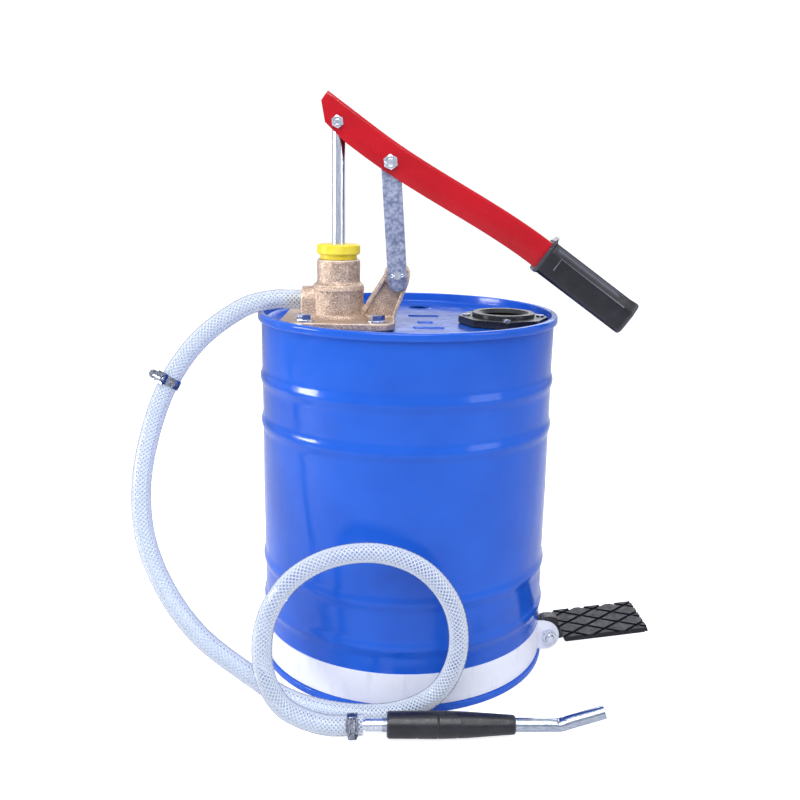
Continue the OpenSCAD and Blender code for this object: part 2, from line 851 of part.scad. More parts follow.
module hose_clamp_screw() {
  y0 = hose_r + 4.6;
  color("silver") on_clamps() translate([0, y0, 0]) rotate([0, -90, 0]) {
    translate([0, 0, -7]) cylinder(h = 14, r = 2.7);
    difference() {
      translate([0, 0, 6.9]) hex(7, 4.5);
      translate([-0.5, -5, 10]) cube([1, 10, 3]);
    }
  }
}

// ---- nozzle ----

// Places a shape drawn along +X onto the nozzle's line.
module on_nozzle() {
  translate(nozzle_from) rotate([0, 0, nozzle_turn]) children();
}

module nozzle_barb() {
  color("silver") on_nozzle() difference() {
    union() {
      rod_x(0, 0, 0, nozzle_tube_x, 4.4);
      for (x = [0, 3.2]) translate([x, 0, 0]) rotate([0, 90, 0]) cylinder(h = 3, r1 = 4.6, r2 = 5.6);
      rod_x(0, 0, 9, nozzle_tube_x, nozzle_r - 0.5);
    }
    rod_x(0, 0, -1, nozzle_tube_x + 1, 3.4);
  }
}

// Half-space beyond the bend's mitre plane; side is 1 past it and -1 before it.
module past_mitre(side) {
  size = 60;
  translate([nozzle_straight, 0, 0]) rotate([0, -nozzle_bend / 2, 0])
    translate([side > 0 ? 0 : -size, -size / 2, -size / 2]) cube(size);
}

// Rod along the tube's line, mitred at the bend.
module nozzle_bar(r, over) {
  difference() {
    rod_x(0, 0, nozzle_tube_x - over, nozzle_straight + 5, r);
    past_mitre(1);
  }
  difference() {
    translate([nozzle_straight, 0, 0]) rotate([0, -nozzle_bend, 0])
      rod_x(0, 0, -5, nozzle_tip_len + over, r);
    past_mitre(-1);
  }
}

// Steel tube with one sharp bend, cut square at its tip.
module nozzle_tube() {
  wall = 1;
  color("gainsboro") on_nozzle() difference() {
    nozzle_bar(nozzle_r, 0);
    nozzle_bar(nozzle_r - wall, 1);
  }
}

module nozzle_grip() {
  x1 = grip_at + grip_long;
  mid = grip_at + 45;
  color("dimgray") on_nozzle() translate([grip_at, 0, 0]) rotate([0, 90, 0]) rotate_extrude()
    polygon([
      [nozzle_r, 0], [10.6, 0], [11.6, 1.6], [11.9, 44], [11.4, 45], [11.8, 46],
      [11.2, 70], [8.4, x1 - grip_at - 1], [7.6, x1 - grip_at], [nozzle_r, x1 - grip_at]
    ]);
}

// ---- base band and pedal ----

module ear_2d() {
  translate([ear_mid_x, pedal_bolt[1]]) circle(r = ear_r);
  translate([drum_r - 3, band_z]) square([ear_mid_x - drum_r + 3, band_h]);
}

module base_band() {
  band_in = drum_r + 0.1;
  gap_y = ear_y[0] + ear_t;
  color("white") difference() {
    union() {
      translate([0, 0, band_z]) cylinder(h = band_h, r = band_in + band_t, $fn = 96);
      for (y = ear_y) plate_xz(y, y + ear_t) ear_2d();
    }
    translate([0, 0, band_z - 1]) cylinder(h = band_h + 2, r = band_in, $fn = 96);
    translate([drum_r - 12, gap_y, band_z - 1]) cube([14.5, ear_y[1] - gap_y, band_h + 2]);
    rod_y(pedal_bolt[0], pedal_bolt[1], -40, 0, bolt_r);
  }
}

module pedal_bolt_screw() {
  far = ear_y[1] + ear_t;
  head_h = 5.3;
  color("silver") {
    hex_y(pedal_bolt[0], pedal_bolt[1], far, far + head_h, bolt_flats);
    rod_y(pedal_bolt[0], pedal_bolt[1], ear_y[0] - 9, far + 0.5, bolt_r);
  }
}

module pedal_bolt_nut() {
  nut_h = 6.5;
  color("silver") difference() {
    hex_y(pedal_bolt[0], pedal_bolt[1], ear_y[0] - nut_h, ear_y[0], bolt_flats);
    rod_y(pedal_bolt[0], pedal_bolt[1], ear_y[0] - nut_h - 1, ear_y[0] + 1, bolt_r);
  }
}

// Places a shape drawn along +X from the pad's inner top edge.
module on_pedal() {
  translate([pad_x, pad_y, pad_top_z]) rotate([0, -pedal_rest, pad_yaw]) children();
}

// Knuckle between the ears, with a curved nose and the plate under the pad.
module pedal_bracket() {
  y0 = ear_y[0] + ear_t + ear_gap;
  y1 = ear_y[1] - ear_gap;
  nose_r = 20;
  nose = [for (a = [-4:11:117]) nose_r * [cos(a), sin(a)]];
  color("black") difference() {
    union() {
      plate_xz(y0, y1) translate(pedal_bolt) {
        circle(r = 8);
        polygon(concat([[0, -4], [6, -6]], nose, [[-4, 6]]));
      }
      on_pedal() translate([2, -pad_w / 2 + 4, -pad_t - plate_t])
        cube([pad_len - 4, pad_w - 8, plate_t]);
    }
    on_pedal() translate([-0.2, -pad_w / 2, -pad_t]) cube([pad_len, pad_w, 20]);
    rod_y(pedal_bolt[0], pedal_bolt[1], -40, 0, bolt_r + run_gap);
  }
}

// Rubber pad with crossing grooves.
module pedal_pad() {
  groove = 1.8;
  groove_w = 3.2;
  pitch = 33;
  reach = 80;
  color("dimgray") on_pedal() difference() {
    translate([0, -pad_w / 2, -pad_t]) cube([pad_len, pad_w, pad_t]);
    for (side = [-1, 1], x = [-23:pitch:pad_len + 25]) translate([x, 0, -groove])
      rotate([0, 0, side * 34]) translate([-reach, -groove_w / 2, 0])
        cube([2 * reach, groove_w, groove + 1]);
  }
}

drum_shell();
drum_lid();
drum_bottom();
fill_port_flange();
fill_port_collar();
fill_port_gasket();
fill_port_screws();
pump_head();
head_gasket();
head_bolts();
head_washers();
head_nuts();
gland_nut();
gland_packing();
outlet_barb();
piston_rod();
piston_body();
piston_seals();
piston_nut();
piston_stop_ring();
piston_valve();
pump_tube();
foot_valve_body();
foot_valve_ball();
foot_valve_stop();
inlet_strainer();
lever_arm();
lever_grip();
rod_bolt();
rod_bolt_nut();
rod_spacers();
pivot_bolt();
pivot_nut();
link_front();
link_rear();
link_top_pin();
link_spacer();
eye_pin();
eye_cotter();
hose();
hose_clamp_band();
hose_clamp_housing();
hose_clamp_screw();
nozzle_barb();
nozzle_tube();
nozzle_grip();
base_band();
pedal_bolt_screw();
pedal_bolt_nut();
pedal_bracket();
pedal_pad();
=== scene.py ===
import json
import math

import bmesh
import bpy
from mathutils import Matrix, Vector, noise


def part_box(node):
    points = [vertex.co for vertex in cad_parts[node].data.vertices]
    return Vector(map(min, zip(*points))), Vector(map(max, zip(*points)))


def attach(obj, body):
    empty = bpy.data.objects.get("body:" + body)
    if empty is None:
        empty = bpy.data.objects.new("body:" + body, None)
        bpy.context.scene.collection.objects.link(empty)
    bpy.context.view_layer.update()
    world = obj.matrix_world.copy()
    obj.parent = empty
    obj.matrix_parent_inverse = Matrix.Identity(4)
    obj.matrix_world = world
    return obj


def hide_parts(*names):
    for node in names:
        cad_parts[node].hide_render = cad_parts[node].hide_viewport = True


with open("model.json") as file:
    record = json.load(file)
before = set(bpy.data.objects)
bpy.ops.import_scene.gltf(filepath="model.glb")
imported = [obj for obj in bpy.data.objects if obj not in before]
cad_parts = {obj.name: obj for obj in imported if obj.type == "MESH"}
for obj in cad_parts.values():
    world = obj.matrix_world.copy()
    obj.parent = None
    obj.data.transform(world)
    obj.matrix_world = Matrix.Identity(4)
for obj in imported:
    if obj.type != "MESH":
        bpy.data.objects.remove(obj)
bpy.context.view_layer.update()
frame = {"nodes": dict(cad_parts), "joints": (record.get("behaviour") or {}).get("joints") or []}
NODES = frame["nodes"]
JOINTS = {j["name"]: j for j in frame["joints"]}

MM = 0.001
TURN = 2 * math.pi
WELD = 0.002  # mm between doubled CAD corners


# ---- reading the frame ----


def box_mm(node):
    low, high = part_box(node)
    return low / MM, high / MM


def centre_mm(node):
    low, high = box_mm(node)
    return (low + high) / 2


def joint_mm(name):
    return Vector(JOINTS[name]["pos_m"]) / MM


def middle(points):
    """Mean of the points, summed in a fixed order so that every run gives the same."""
    return sum(sorted(points, key=tuple), Vector()) / len(points)


def welded(node):
    """The CAD node's mesh in millimetres, with doubled corners merged."""
    bm = bmesh.new()
    bm.from_mesh(NODES[node].data)
    bmesh.ops.scale(bm, vec=(1 / MM,) * 3, verts=bm.verts)
    bmesh.ops.remove_doubles(bm, verts=bm.verts, dist=WELD)
    return bm


def solid_centres(node):
    """Box centre of each separate solid of a CAD node."""
    bm = welded(node)
    left = set(bm.verts)
    centres = []
    while left:
        todo = [left.pop()]
        group = []
        while todo:
            vert = todo.pop()
            group.append(vert.co.copy())
            near = {e.other_vert(vert) for e in vert.link_edges} & left
            left -= near
            todo.extend(near)
        low = Vector([min(p[i] for p in group) for i in range(3)])
        high = Vector([max(p[i] for p in group) for i in range(3)])
        centres.append((low + high) / 2)
    bm.free()
    return sorted(centres, key=lambda p: tuple(round(c, 2) for c in p))


def hose_centres():
    """Middle of every ring of the CAD hose's skin, from the outlet to the nozzle."""
    bm = welded("hose")
    high = [v for v in bm.verts if v.co.z > LID_Z]
    end_x = max(v.co.x for v in high)
    cap = [v for v in high if v.co.x > end_x - 1]
    centres = [middle([v.co for v in cap])]
    between_skins = (HOSE_R + HOSE_BORE_R) / 2
    ring = {v for v in cap if (v.co - centres[0]).length > between_skins}
    seen = set(cap)
    while ring:
        ring = {e.other_vert(v) for v in ring for e in v.link_edges} - seen
        if not ring:
            break
        point = middle([v.co for v in ring])
        if min((v.co - point).length for v in ring) < between_skins:
            break
        seen |= ring
        centres.append(point)
    bm.free()
    return centres


# ---- sizes, in millimetres ----

DRUM_H = box_mm("drum_lid")[1].z
LID_Z = box_mm("head_gasket")[0].z
SHEET = 1.2
CHIME_OUT = 3.4
CHIME_H = 7.5
DRUM_R = box_mm("drum_lid")[1].x - CHIME_OUT
WALL_IN = DRUM_R - SHEET
LEG_IN = WALL_IN - SHEET
HOOP_ZS = (63, 107, 247, 291)
HOOP_H = 18
HOOP_OUT = 1.9

PORT = centre_mm("fill_port_collar")
PORT_TOP = box_mm("fill_port_flange")[1].z
PORT_R = 20.5
NECK_R = 24
VENT_R = 11
VENT = Vector((12.5, 91, LID_Z))
BOLT_R = 4
BOLT_FLATS = 13
BOLT_HEAD_H = 5.3
BOLT_THREAD = 12
NUT_PLAY = 0.02
PIVOT_FLATS = 12
ROD_BOLT_R = 3
ROD_BOLT_FLATS = 10
PUMP = centre_mm("gland_nut")
BARREL_R = 23.5
UPPER_BARREL_R = 20

ROD_PIN = joint_mm("lever_swing")
LEVER_W = 24
LEVER_H = 27
LEVER_T = 2
LEVER_NOSE = -22.4
LEVER_END = 301
LEVER_LIFT = 3.2  # from the rod bolt to the middle of the cheeks
LEVER_CLIMB = 13.4  # and how much further up they bend towards the grip
LEVER_BEND_START = 32
LEVER_BEND_LEN = 185
PIVOT_PITCH = (centre_mm("pivot_nut").xz - centre_mm("rod_bolt_nut").xz).length
LEVER_DIP = math.atan2(ROD_PIN.z - centre_mm("pivot_nut").z, centre_mm("pivot_nut").x - ROD_PIN.x)
GRIP_X = 220
GRIP_LEN = 101
GRIP_HALF_W = 14.5
GRIP_HALF_H = 16

HOSE_R = 9
HOSE_BORE_R = 6
NOZZLE_R = 6
NOZZLE_TURN = 2  # degrees
NOZZLE_BEND = math.radians(18)
BARB_LEN = 24
NOZZLE_STRAIGHT = 180
NOZZLE_TIP = 41
HANDLE_X = 28
HANDLE_LEN = 113


# ---- building pieces ----


def loose(name, points, faces):
    """A mesh object from points in millimetres, which isn't a piece yet."""
    mesh = bpy.data.meshes.new(name)
    mesh.from_pydata([Vector(p) * MM for p in points], [], faces)
    tidy_mesh(mesh, 35)
    obj = bpy.data.objects.new(name, mesh)
    bpy.context.scene.collection.objects.link(obj)
    return obj


def add_piece(name, points, faces, body, finish, nodes=(), sharp=35):
    return dress(loose(name, points, faces), body, finish, nodes, sharp)


def dress(obj, body, finish, nodes=(), sharp=35):
    """Shades and paints a piece, hands it to a CAD body and hides the CAD nodes it takes the place
    of.
    """
    tidy_mesh(obj.data, sharp)
    obj.data.materials.clear()
    obj.data.materials.append(FINISHES[finish])
    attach(obj, body)
    if nodes:
        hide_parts(*nodes)
    return obj


def tidy_mesh(mesh, sharp):
    """Merges doubled corners, turns faces outwards and shades smooth below an angle."""
    bm = bmesh.new()
    bm.from_mesh(mesh)
    bmesh.ops.remove_doubles(bm, verts=bm.verts, dist=WELD * MM)
    bmesh.ops.dissolve_degenerate(bm, edges=bm.edges, dist=WELD * MM)
    bmesh.ops.recalc_face_normals(bm, faces=bm.faces)
    for face in bm.faces:
        face.smooth = True
    bm.to_mesh(mesh)
    bm.free()
    mesh.set_sharp_from_angle(angle=math.radians(sharp))


def bake(obj):
    """Applies the object's modifiers to its mesh."""
    graph = bpy.context.evaluated_depsgraph_get()
    mesh = bpy.data.meshes.new_from_object(obj.evaluated_get(graph))
    obj.modifiers.clear()
    obj.data = mesh


def add_bevel(obj, width, angle):
    """Rounds the edges that turn by more than an angle in degrees."""
    edge = obj.modifiers.new("edge", "BEVEL")
    edge.width = width * MM
    edge.segments = 2
    edge.limit_method = "ANGLE"
    edge.angle_limit = math.radians(angle)


def combine(obj, tools, operation):
    """Cuts or unites closed tools into obj, then drops them."""
    for tool in tools:
        step = obj.modifiers.new("combine", "BOOLEAN")
        step.operation = operation
        step.object = tool
        step.solver = "EXACT"
    bake(obj)
    for tool in tools:
        bpy.data.objects.remove(tool)


def joined(shapes):
    """One list of points and faces from several."""
    points = []
    faces = []
    for some_points, some_faces in shapes:
        start = len(points)
        points.extend(some_points)
        faces.extend([tuple(i + start for i in face) for face in some_faces])
    return points, faces


def moved(matrix, shape):
    points, faces = shape
    return [matrix @ Vector(p) for p in points], faces


def grid(rows, close_rows=False, caps=False):
    """Quads over rows of points whose ends meet; the rows close, or get end caps."""
    count = len(rows[0])
    total = len(rows)
    points = [p for row in rows for p in row]
    faces = []
    for i in range(total if close_rows else total - 1):
        below = i * count
        above = (i + 1) % total * count
        for k in range(count):
            m = (k + 1) % count
            faces.append((below + k, below + m, above + m, above + k))
    if caps:
        faces.append(tuple(reversed(range(count))))
        faces.append(tuple(range((total - 1) * count, total * count)))
    return points, faces


def around(count):
    """Angles of even steps round a full turn."""
    return [TURN * k / count for k in range(count)]


def polar(stations, segments=72, closed=False):
    """Solid from (radius, height) stations; each is a pair, or a function of the angle."""
    rows = []
    for station in stations:
        row = []
        for angle in around(segments):
            r, z = station(angle) if callable(station) else station
            row.append((r * math.cos(angle), r * math.sin(angle), z))
        rows.append(row)
    return grid(rows, close_rows=closed, caps=not closed)


def arc(centre, radius, start, end, steps=6):
    """Points of an arc in a plane, from one angle in degrees to another."""
    angles = [math.radians(start + (end - start) * i / steps) for i in range(steps + 1)]
    return [(centre[0] + radius * math.cos(a), centre[1] + radius * math.sin(a)) for a in angles]


def upright(x, y, z=0):
    return Matrix.Translation((x, y, z))


def turned(degrees, axis="Z"):
    return Matrix.Rotation(math.radians(degrees), 4, axis)


def along(origin, direction, up=(0, 0, 1)):
    """Matrix that puts local +Z on direction and local +Y as near up as it can."""
    z = Vector(direction).normalized()
    x = Vector(up).cross(z).normalized()
    y = z.cross(x)
    turn = Matrix((x, y, z)).transposed().to_4x4()
    return Matrix.Translation(origin) @ turn


def ease(u):
    v = min(1, max(0, u))
    return v * v * (3 - 2 * v)


def on_marks(marks, x):
    """Value at x on straight lines through (x, value) marks, or the last mark's past them."""
    for (x0, y0), (x1, y1) in zip(marks, marks[1:]):
        if x <= x1:
            return y0 + (y1 - y0) * (x - x0) / (x1 - x0)
    return marks[-1][1]


# ---- fasteners ----


def hex_radius(flats, angle):
    """Distance from the middle of a hexagon to its edge, with a corner at angle 0."""
    return flats / 2 / math.cos(angle % (TURN / 6) - TURN / 12)


def hex_stations(flats, low, high):
    """Outer stations of a hexagon whose upper corners are chamfered round."""
    flat_r = flats / 2 * 0.96
    slope = math.tan(math.radians(30))

    def under(angle):
        return hex_radius(flats, angle), low

    def over(angle):
        r = hex_radius(flats, angle)
        return r, high - (r - flat_r) * slope

    return [under, over, (flat_r, high)]


def thread_stations(radius, start, end, pitch):
    """Stations of a screw thread of true helix from start up to end."""
    depth = 0.55 * pitch
    steps_a_turn = 6
    steps = max(2, round((end - start) / pitch * steps_a_turn))

    def station(z):
        fade = min(1, (z - start) / pitch, (end - z) / pitch)

        def at(angle):
            saw = (z / pitch - angle / TURN) % 1
            return radius - depth * abs(2 * saw - 1) * max(0.25, fade), z

        return at

    return [station(start + (end - start) * i / steps) for i in range(steps + 1)]


def bolt(flats, head_h, radius, shank, thread, pitch=1.25):
    """Hex bolt along -Z below a head that stands on z = 0."""
    crown = 0.01
    runout = 0.3
    point_h, point_in = 0.5, 1.2
    stations = [(0, head_h + crown), *reversed(hex_stations(flats, 0, head_h))]
    stations += [(radius, 0), (radius, -shank + thread)]
    stations += reversed(thread_stations(radius, -shank, -shank + thread - runout, pitch))
    stations += [(radius - point_in, -shank - point_h), (0, -shank - point_h)]
    return polar(stations)


def nut(flats, height, bore):
    """Hex nut on z = 0 with both faces chamfered."""
    top = hex_stations(flats, height / 2, height)
    bottom = []
    for station in reversed(top):
        if callable(station):
            bottom.append(lambda angle, s=station: (s(angle)[0], height - s(angle)[1]))
        else:
            bottom.append((station[0], height - station[1]))
    lip = 0.5
    inner = [(bore + lip, height), (bore, height - lip), (bore, lip), (bore + lip, 0)]
    return polar([*bottom[:-1], *top[1:], *inner], closed=True)


def lock_nut(flats, height, bore):
    """Locking nut on z = 0: a chamfered hexagon with a domed collar around its insert."""
    hex_h = 0.7 * height
    collar_r = 0.43 * flats
    lip = 0.5
    dome = 0.8
    insert_r = bore + 0.9
    insert_z = height - 0.6
    stations = [(bore + lip, 0), *hex_stations(flats, 0, hex_h)[:2]]
    stations += [(collar_r, hex_h), (collar_r, height - dome), (collar_r - dome, height)]
    stations += [(insert_r, height), (insert_r, insert_z), (bore, insert_z)]
    return polar(stations, closed=True)


# ---- materials ----


def rgb(red, green, blue):
    """Linear colour from screen values of 0 to 255."""
    linear = []
    for value in (red, green, blue):
        v = value / 255
        linear.append(v / 12.92 if v <= 0.04045 else ((v + 0.055) / 1.055) ** 2.4)
    return (*linear, 1)


class Finish:
    """One procedural material, built node by node. Feature sizes are in millimetres."""

    def __init__(self, name):
        self.material = bpy.data.materials.new(name)
        self.material.use_nodes = True
        self.nodes = self.material.node_tree.nodes
        self.links = self.material.node_tree.links
        self.surface = self.nodes["Principled BSDF"]
        self.place = self.nodes.new("ShaderNodeTexCoord").outputs["Object"]
        self.normal = None

    def put(self, socket, value):
        if isinstance(value, bpy.types.NodeSocket):
            self.links.new(value, socket)
        else:
            socket.default_value = value

    def set(self, **values):
        for name, value in values.items():
            self.put(self.surface.inputs[name.replace("_", " ")], value)

    def stretched(self, scale):
        node = self.nodes.new("ShaderNodeMapping")
        self.links.new(self.place, node.inputs["Vector"])
        node.inputs["Scale"].default_value = scale
        return node.outputs["Vector"]

    def noise(self, size, detail=3, roughness=0.55, stretch=(1, 1, 1)):
        node = self.nodes.new("ShaderNodeTexNoise")
        self.links.new(self.stretched([s / size / MM for s in stretch]), node.inputs["Vector"])
        node.inputs["Scale"].default_value = 1
        node.inputs["Detail"].default_value = detail
        node.inputs["Roughness"].default_value = roughness
        return node.outputs["Fac"]

    def cells(self, size):
        node = self.nodes.new("ShaderNodeTexVoronoi")
        self.links.new(self.stretched([1 / size / MM] * 3), node.inputs["Vector"])
        node.inputs["Scale"].default_value = 1
        return node.outputs["Distance"]

    def edges(self, low, high):
        """1 on outer edges and 0 on flats and in corners."""
        node = self.nodes.new("ShaderNodeNewGeometry")
        return self.remap(node.outputs["Pointiness"], low, high, 0, 1)

    def remap(self, value, low, high, to_low, to_high):
        node = self.nodes.new("ShaderNodeMapRange")
        self.put(node.inputs["Value"], value)
        limits = {"From Min": low, "From Max": high, "To Min": to_low, "To Max": to_high}
        for name, limit in limits.items():
            node.inputs[name].default_value = limit
        return node.outputs["Result"]

    def times(self, a, b):
        node = self.nodes.new("ShaderNodeMath")
        node.operation = "MULTIPLY"
        self.put(node.inputs[0], a)
        self.put(node.inputs[1], b)
        return node.outputs["Value"]

    def mix(self, factor, a, b):
        node = self.nodes.new("ShaderNodeMix")
        node.data_type = "RGBA"
        self.put(node.inputs["Factor"], factor)
        self.put(node.inputs[6], a)
        self.put(node.inputs[7], b)
        return node.outputs[2]

    def bump(self, height, depth):
        node = self.nodes.new("ShaderNodeBump")
        node.inputs["Distance"].default_value = depth * MM
        self.put(node.inputs["Height"], height)
        if self.normal:
            self.links.new(self.normal, node.inputs["Normal"])
        self.normal = node.outputs["Normal"]
        self.links.new(self.normal, self.surface.inputs["Normal"])


def enamel(name, colour, dark, wear_and_highlight, gloss):
    """Sprayed gloss paint: orange peel, slow waves in the sheet, and rubbed edges."""
    f = Finish(name)
    tone = f.mix(f.remap(f.noise(70), 0.3, 0.7, 0, 1), colour, dark)
    rub_and_glint = f.times(f.edges(0.54, 0.62), f.remap(f.noise(3, detail=6), 0.5, 0.62, 0, 0.5))
    f.set(Base_Color=f.mix(rub_and_glint, tone, wear_and_highlight))
    f.set(Roughness=f.remap(f.noise(12, detail=5), 0.35, 0.7, gloss, gloss + 0.12))
    f.set(Specular_IOR_Level=0.3, Coat_Weight=0.12, Coat_Roughness=0.05)
    f.bump(f.noise(1.8, detail=2), 0.018)
    f.bump(f.noise(26, detail=1, stretch=(1, 1, 0.4)), 0.5)
    return f.material


def raw_steel_painted_shade():
    """Unpainted sheet with an oil film on the inside of the drum, made very dark as painted shade
    inside the closed drum.
    """
    f = Finish("raw_steel_painted_shade")
    film = f.remap(f.noise(30, detail=5), 0.35, 0.7, 0, 1)
    # Both tones are kept very dark: painted shade for the closed drum's inside.
    f.set(Base_Color=f.mix(film, rgb(62, 60, 62), rgb(40, 38, 38)), Metallic=0.6)
    f.set(Roughness=f.remap(f.noise(12), 0.3, 0.7, 0.45, 0.65))
    return f.material


def white_coat():
    f = Finish("white_coat")
    marks = f.remap(f.noise(9, detail=6, stretch=(1, 1, 0.3)), 0.55, 0.75, 0, 0.5)
    f.set(Base_Color=f.mix(marks, rgb(236, 238, 250), rgb(205, 208, 228)))
    f.set(Roughness=f.remap(f.noise(5), 0.3, 0.7, 0.28, 0.45))
    f.bump(f.noise(2.5), 0.02)
    f.bump(f.noise(30, detail=1), 0.3)
    return f.material


def black_coat():
    f = Finish("black_coat")
    # Lighter edges: painted glints on the edges, with some paint rubbed through to the metal.
    rub_and_glint = f.times(f.edges(0.54, 0.64), f.remap(f.noise(2, detail=6), 0.4, 0.6, 0, 0.8))
    f.set(Base_Color=f.mix(rub_and_glint, rgb(18, 18, 22), rgb(140, 142, 156)))
    f.set(Roughness=f.remap(f.noise(3), 0.3, 0.7, 0.22, 0.42))
    f.bump(f.noise(0.9, detail=4), 0.06)
    return f.material


def cast_bronze():
    """Blasted sand casting: grain whose bright specks are painted glints, brighter on the edges."""
    f = Finish("cast_bronze")
    grain = f.noise(1.1, detail=6, roughness=0.8)
    patches = f.remap(f.noise(9, detail=4), 0.3, 0.7, 0, 1)
    tone = f.mix(patches, rgb(200, 172, 150), rgb(166, 140, 120))
    # Bright grain specks: painted glints.
    tone = f.mix(f.remap(grain, 0.5, 0.64, 0, 0.9), tone, rgb(255, 244, 232))
    tone = f.mix(f.remap(grain, 0.47, 0.36, 0, 0.85), tone, rgb(78, 56, 44))
    tone = f.mix(f.times(f.edges(0.51, 0.56), 0.8), tone, rgb(255, 236, 214))
    f.set(Base_Color=tone, Metallic=0.6)
    f.set(Roughness=f.remap(grain, 0.3, 0.7, 0.5, 0.3))
    f.bump(grain, 0.5)
    f.bump(f.noise(3.5, detail=2), 0.35)
    return f.material


def zinc():
    """Galvanised strip: blue-grey spangle with fine scratches."""
    f = Finish("zinc")
    spangle = f.cells(3.2)
    tone = f.mix(f.remap(spangle, 0.1, 0.8, 0, 1), rgb(172, 180, 206), rgb(116, 124, 156))
    blotch = f.remap(f.noise(6, detail=6, roughness=0.7), 0.5, 0.65, 0, 0.7)
    tone = f.mix(blotch, tone, rgb(196, 202, 222))
    f.set(Base_Color=tone, Metallic=0.75)
    f.set(Roughness=f.remap(f.noise(1.6, detail=4), 0.3, 0.7, 0.32, 0.55))
    f.bump(f.noise(1.2, detail=5), 0.08)
    return f.material


def plated(name, colour, dark, low, high, stretch):
    """Plated or drawn steel with fine marks along one direction."""
    f = Finish(name)
    marks = f.noise(1.1, detail=5, stretch=stretch)
    f.set(Base_Color=f.mix(f.remap(marks, 0.35, 0.7, 0, 1), dark, colour), Metallic=1.0)
    f.set(Roughness=f.remap(marks, 0.3, 0.7, high, low))
    f.bump(marks, 0.02)
    return f.material


def moulded(name, colour, light, low, high, grain, wear_and_highlight=None, shine=0.3):
    """Moulded plastic or rubber: fine grain, faint bloom, and edges painted lighter as a highlight,
    with soft rubbing.
    """
    f = Finish(name)
    bloom = f.remap(f.noise(14, detail=5), 0.4, 0.75, 0, 0.5)
    tone = f.mix(bloom, colour, light)
    # Lighter edges and ridges: painted highlight, with some rubbing.
    f.set(Base_Color=f.mix(f.times(f.edges(0.52, 0.6), 0.4), tone, wear_and_highlight or light))
    f.set(Roughness=f.remap(f.noise(6, detail=4), 0.3, 0.7, low, high))
    f.set(Specular_IOR_Level=shine)
    f.bump(f.noise(grain, detail=3), 0.06)
    f.bump(f.noise(16, detail=1), 0.25)
    return f.material


def packing():
    f = Finish("packing")
    weave = f.cells(1.1)
    f.set(Base_Color=f.mix(f.remap(weave, 0.1, 0.8, 0, 1), rgb(190, 172, 130), rgb(120, 104, 70)))
    f.set(Roughness=0.8)
    f.bump(weave, 0.3)
    return f.material


def clear_hose():
    """Clear flexible PVC: a thin haze, a wet skin, and a bore tinted darker grey-blue as painted
    shade, so that what is seen through it is dimmed.
    """
    f = Finish("clear_hose")
    nodes, links = f.nodes, f.links
    f.bump(f.noise(7, detail=2), 0.12)
    clear = nodes.new("ShaderNodeBsdfTransparent")
    inwards = nodes.new("ShaderNodeNewGeometry").outputs["Backfacing"]
    # Backfacing bore surfaces get a darker tint: painted shade between the yarns.
    f.put(clear.inputs["Color"], f.mix(inwards, (0.97, 0.98, 1, 1), (0.72, 0.78, 0.86, 1)))
    haze = nodes.new("ShaderNodeMixShader")
    f.put(haze.inputs["Fac"], f.remap(f.noise(20, detail=4), 0.3, 0.7, 0.09, 0.16))
    f.set(Base_Color=rgb(232, 240, 252), Roughness=0.12, IOR=1.5)
    links.new(clear.outputs[0], haze.inputs[1])
    links.new(f.surface.outputs[0], haze.inputs[2])
    shine = nodes.new("ShaderNodeBsdfGlossy")
    shine.inputs["Roughness"].default_value = 0.09
    links.new(f.normal, shine.inputs["Normal"])
    facing = nodes.new("ShaderNodeLayerWeight")
    facing.inputs["Blend"].default_value = 0.25
    skin = nodes.new("ShaderNodeMixShader")
    f.put(skin.inputs["Fac"], f.times(facing.outputs["Fresnel"], 0.8))
    links.new(haze.outputs[0], skin.inputs[1])
    links.new(shine.outputs[0], skin.inputs[2])
    links.new(skin.outputs[0], nodes["Material Output"].inputs["Surface"])
    return f.material


def hose_yarn():
    f = Finish("hose_yarn")
    twist = f.noise(0.5, detail=4)
    f.set(Base_Color=f.mix(f.remap(twist, 0.3, 0.7, 0, 1), rgb(255, 255, 255), rgb(226, 232, 246)))
    # The yarns glow faintly: painted light that brightens them.
    f.set(Roughness=0.42, Sheen_Weight=0.3, Emission_Color=(1, 1, 1, 1), Emission_Strength=0.15)
    f.bump(twist, 0.08)
    return f.material


# Finishes that share a recipe, each with what its recipe takes after the name.
RECIPES = {
    "blue_paint": (enamel, rgb(24, 92, 206), rgb(18, 82, 192), rgb(130, 170, 230), 0.12),
    "red_enamel": (enamel, rgb(190, 5, 28), rgb(172, 3, 20), rgb(225, 100, 104), 0.16),
    "bright_steel": (plated, rgb(240, 243, 250), rgb(190, 196, 212), 0.14, 0.26, (1, 1, 0.08)),
    "chrome_steel": (plated, rgb(196, 203, 214), rgb(150, 158, 174), 0.06, 0.16, (0.2, 1, 1)),
    "clamp_steel": (plated, rgb(196, 200, 212), rgb(84, 88, 104), 0.18, 0.36, (1, 1, 0.3)),
    "turned_brass": (plated, rgb(222, 184, 110), rgb(176, 138, 76), 0.22, 0.36, (1, 1, 0.2)),
    "yellow_plastic": (moulded, rgb(232, 208, 30), rgb(244, 230, 110), 0.3, 0.45, 0.8),
    # The grip's pale edge colour is a painted highlight on its moulded ridges.
    "black_plastic": (
        moulded, rgb(18, 18, 24), rgb(42, 42, 54), 0.24, 0.4, 0.7, rgb(170, 172, 190), 0.5,
    ),
    "black_rubber": (moulded, rgb(13, 13, 19), rgb(36, 36, 48), 0.3, 0.55, 0.9),
    "seal_rubber": (moulded, rgb(48, 48, 50), rgb(80, 80, 82), 0.5, 0.7, 1.2),
}
ONE_OFFS = (raw_steel_painted_shade, white_coat, black_coat, cast_bronze, zinc, packing, clear_hose, hose_yarn)
FINISHES = {make.__name__: make() for make in ONE_OFFS}
for finish, (recipe, *look) in RECIPES.items():
    FINISHES[finish] = recipe(finish, *look)


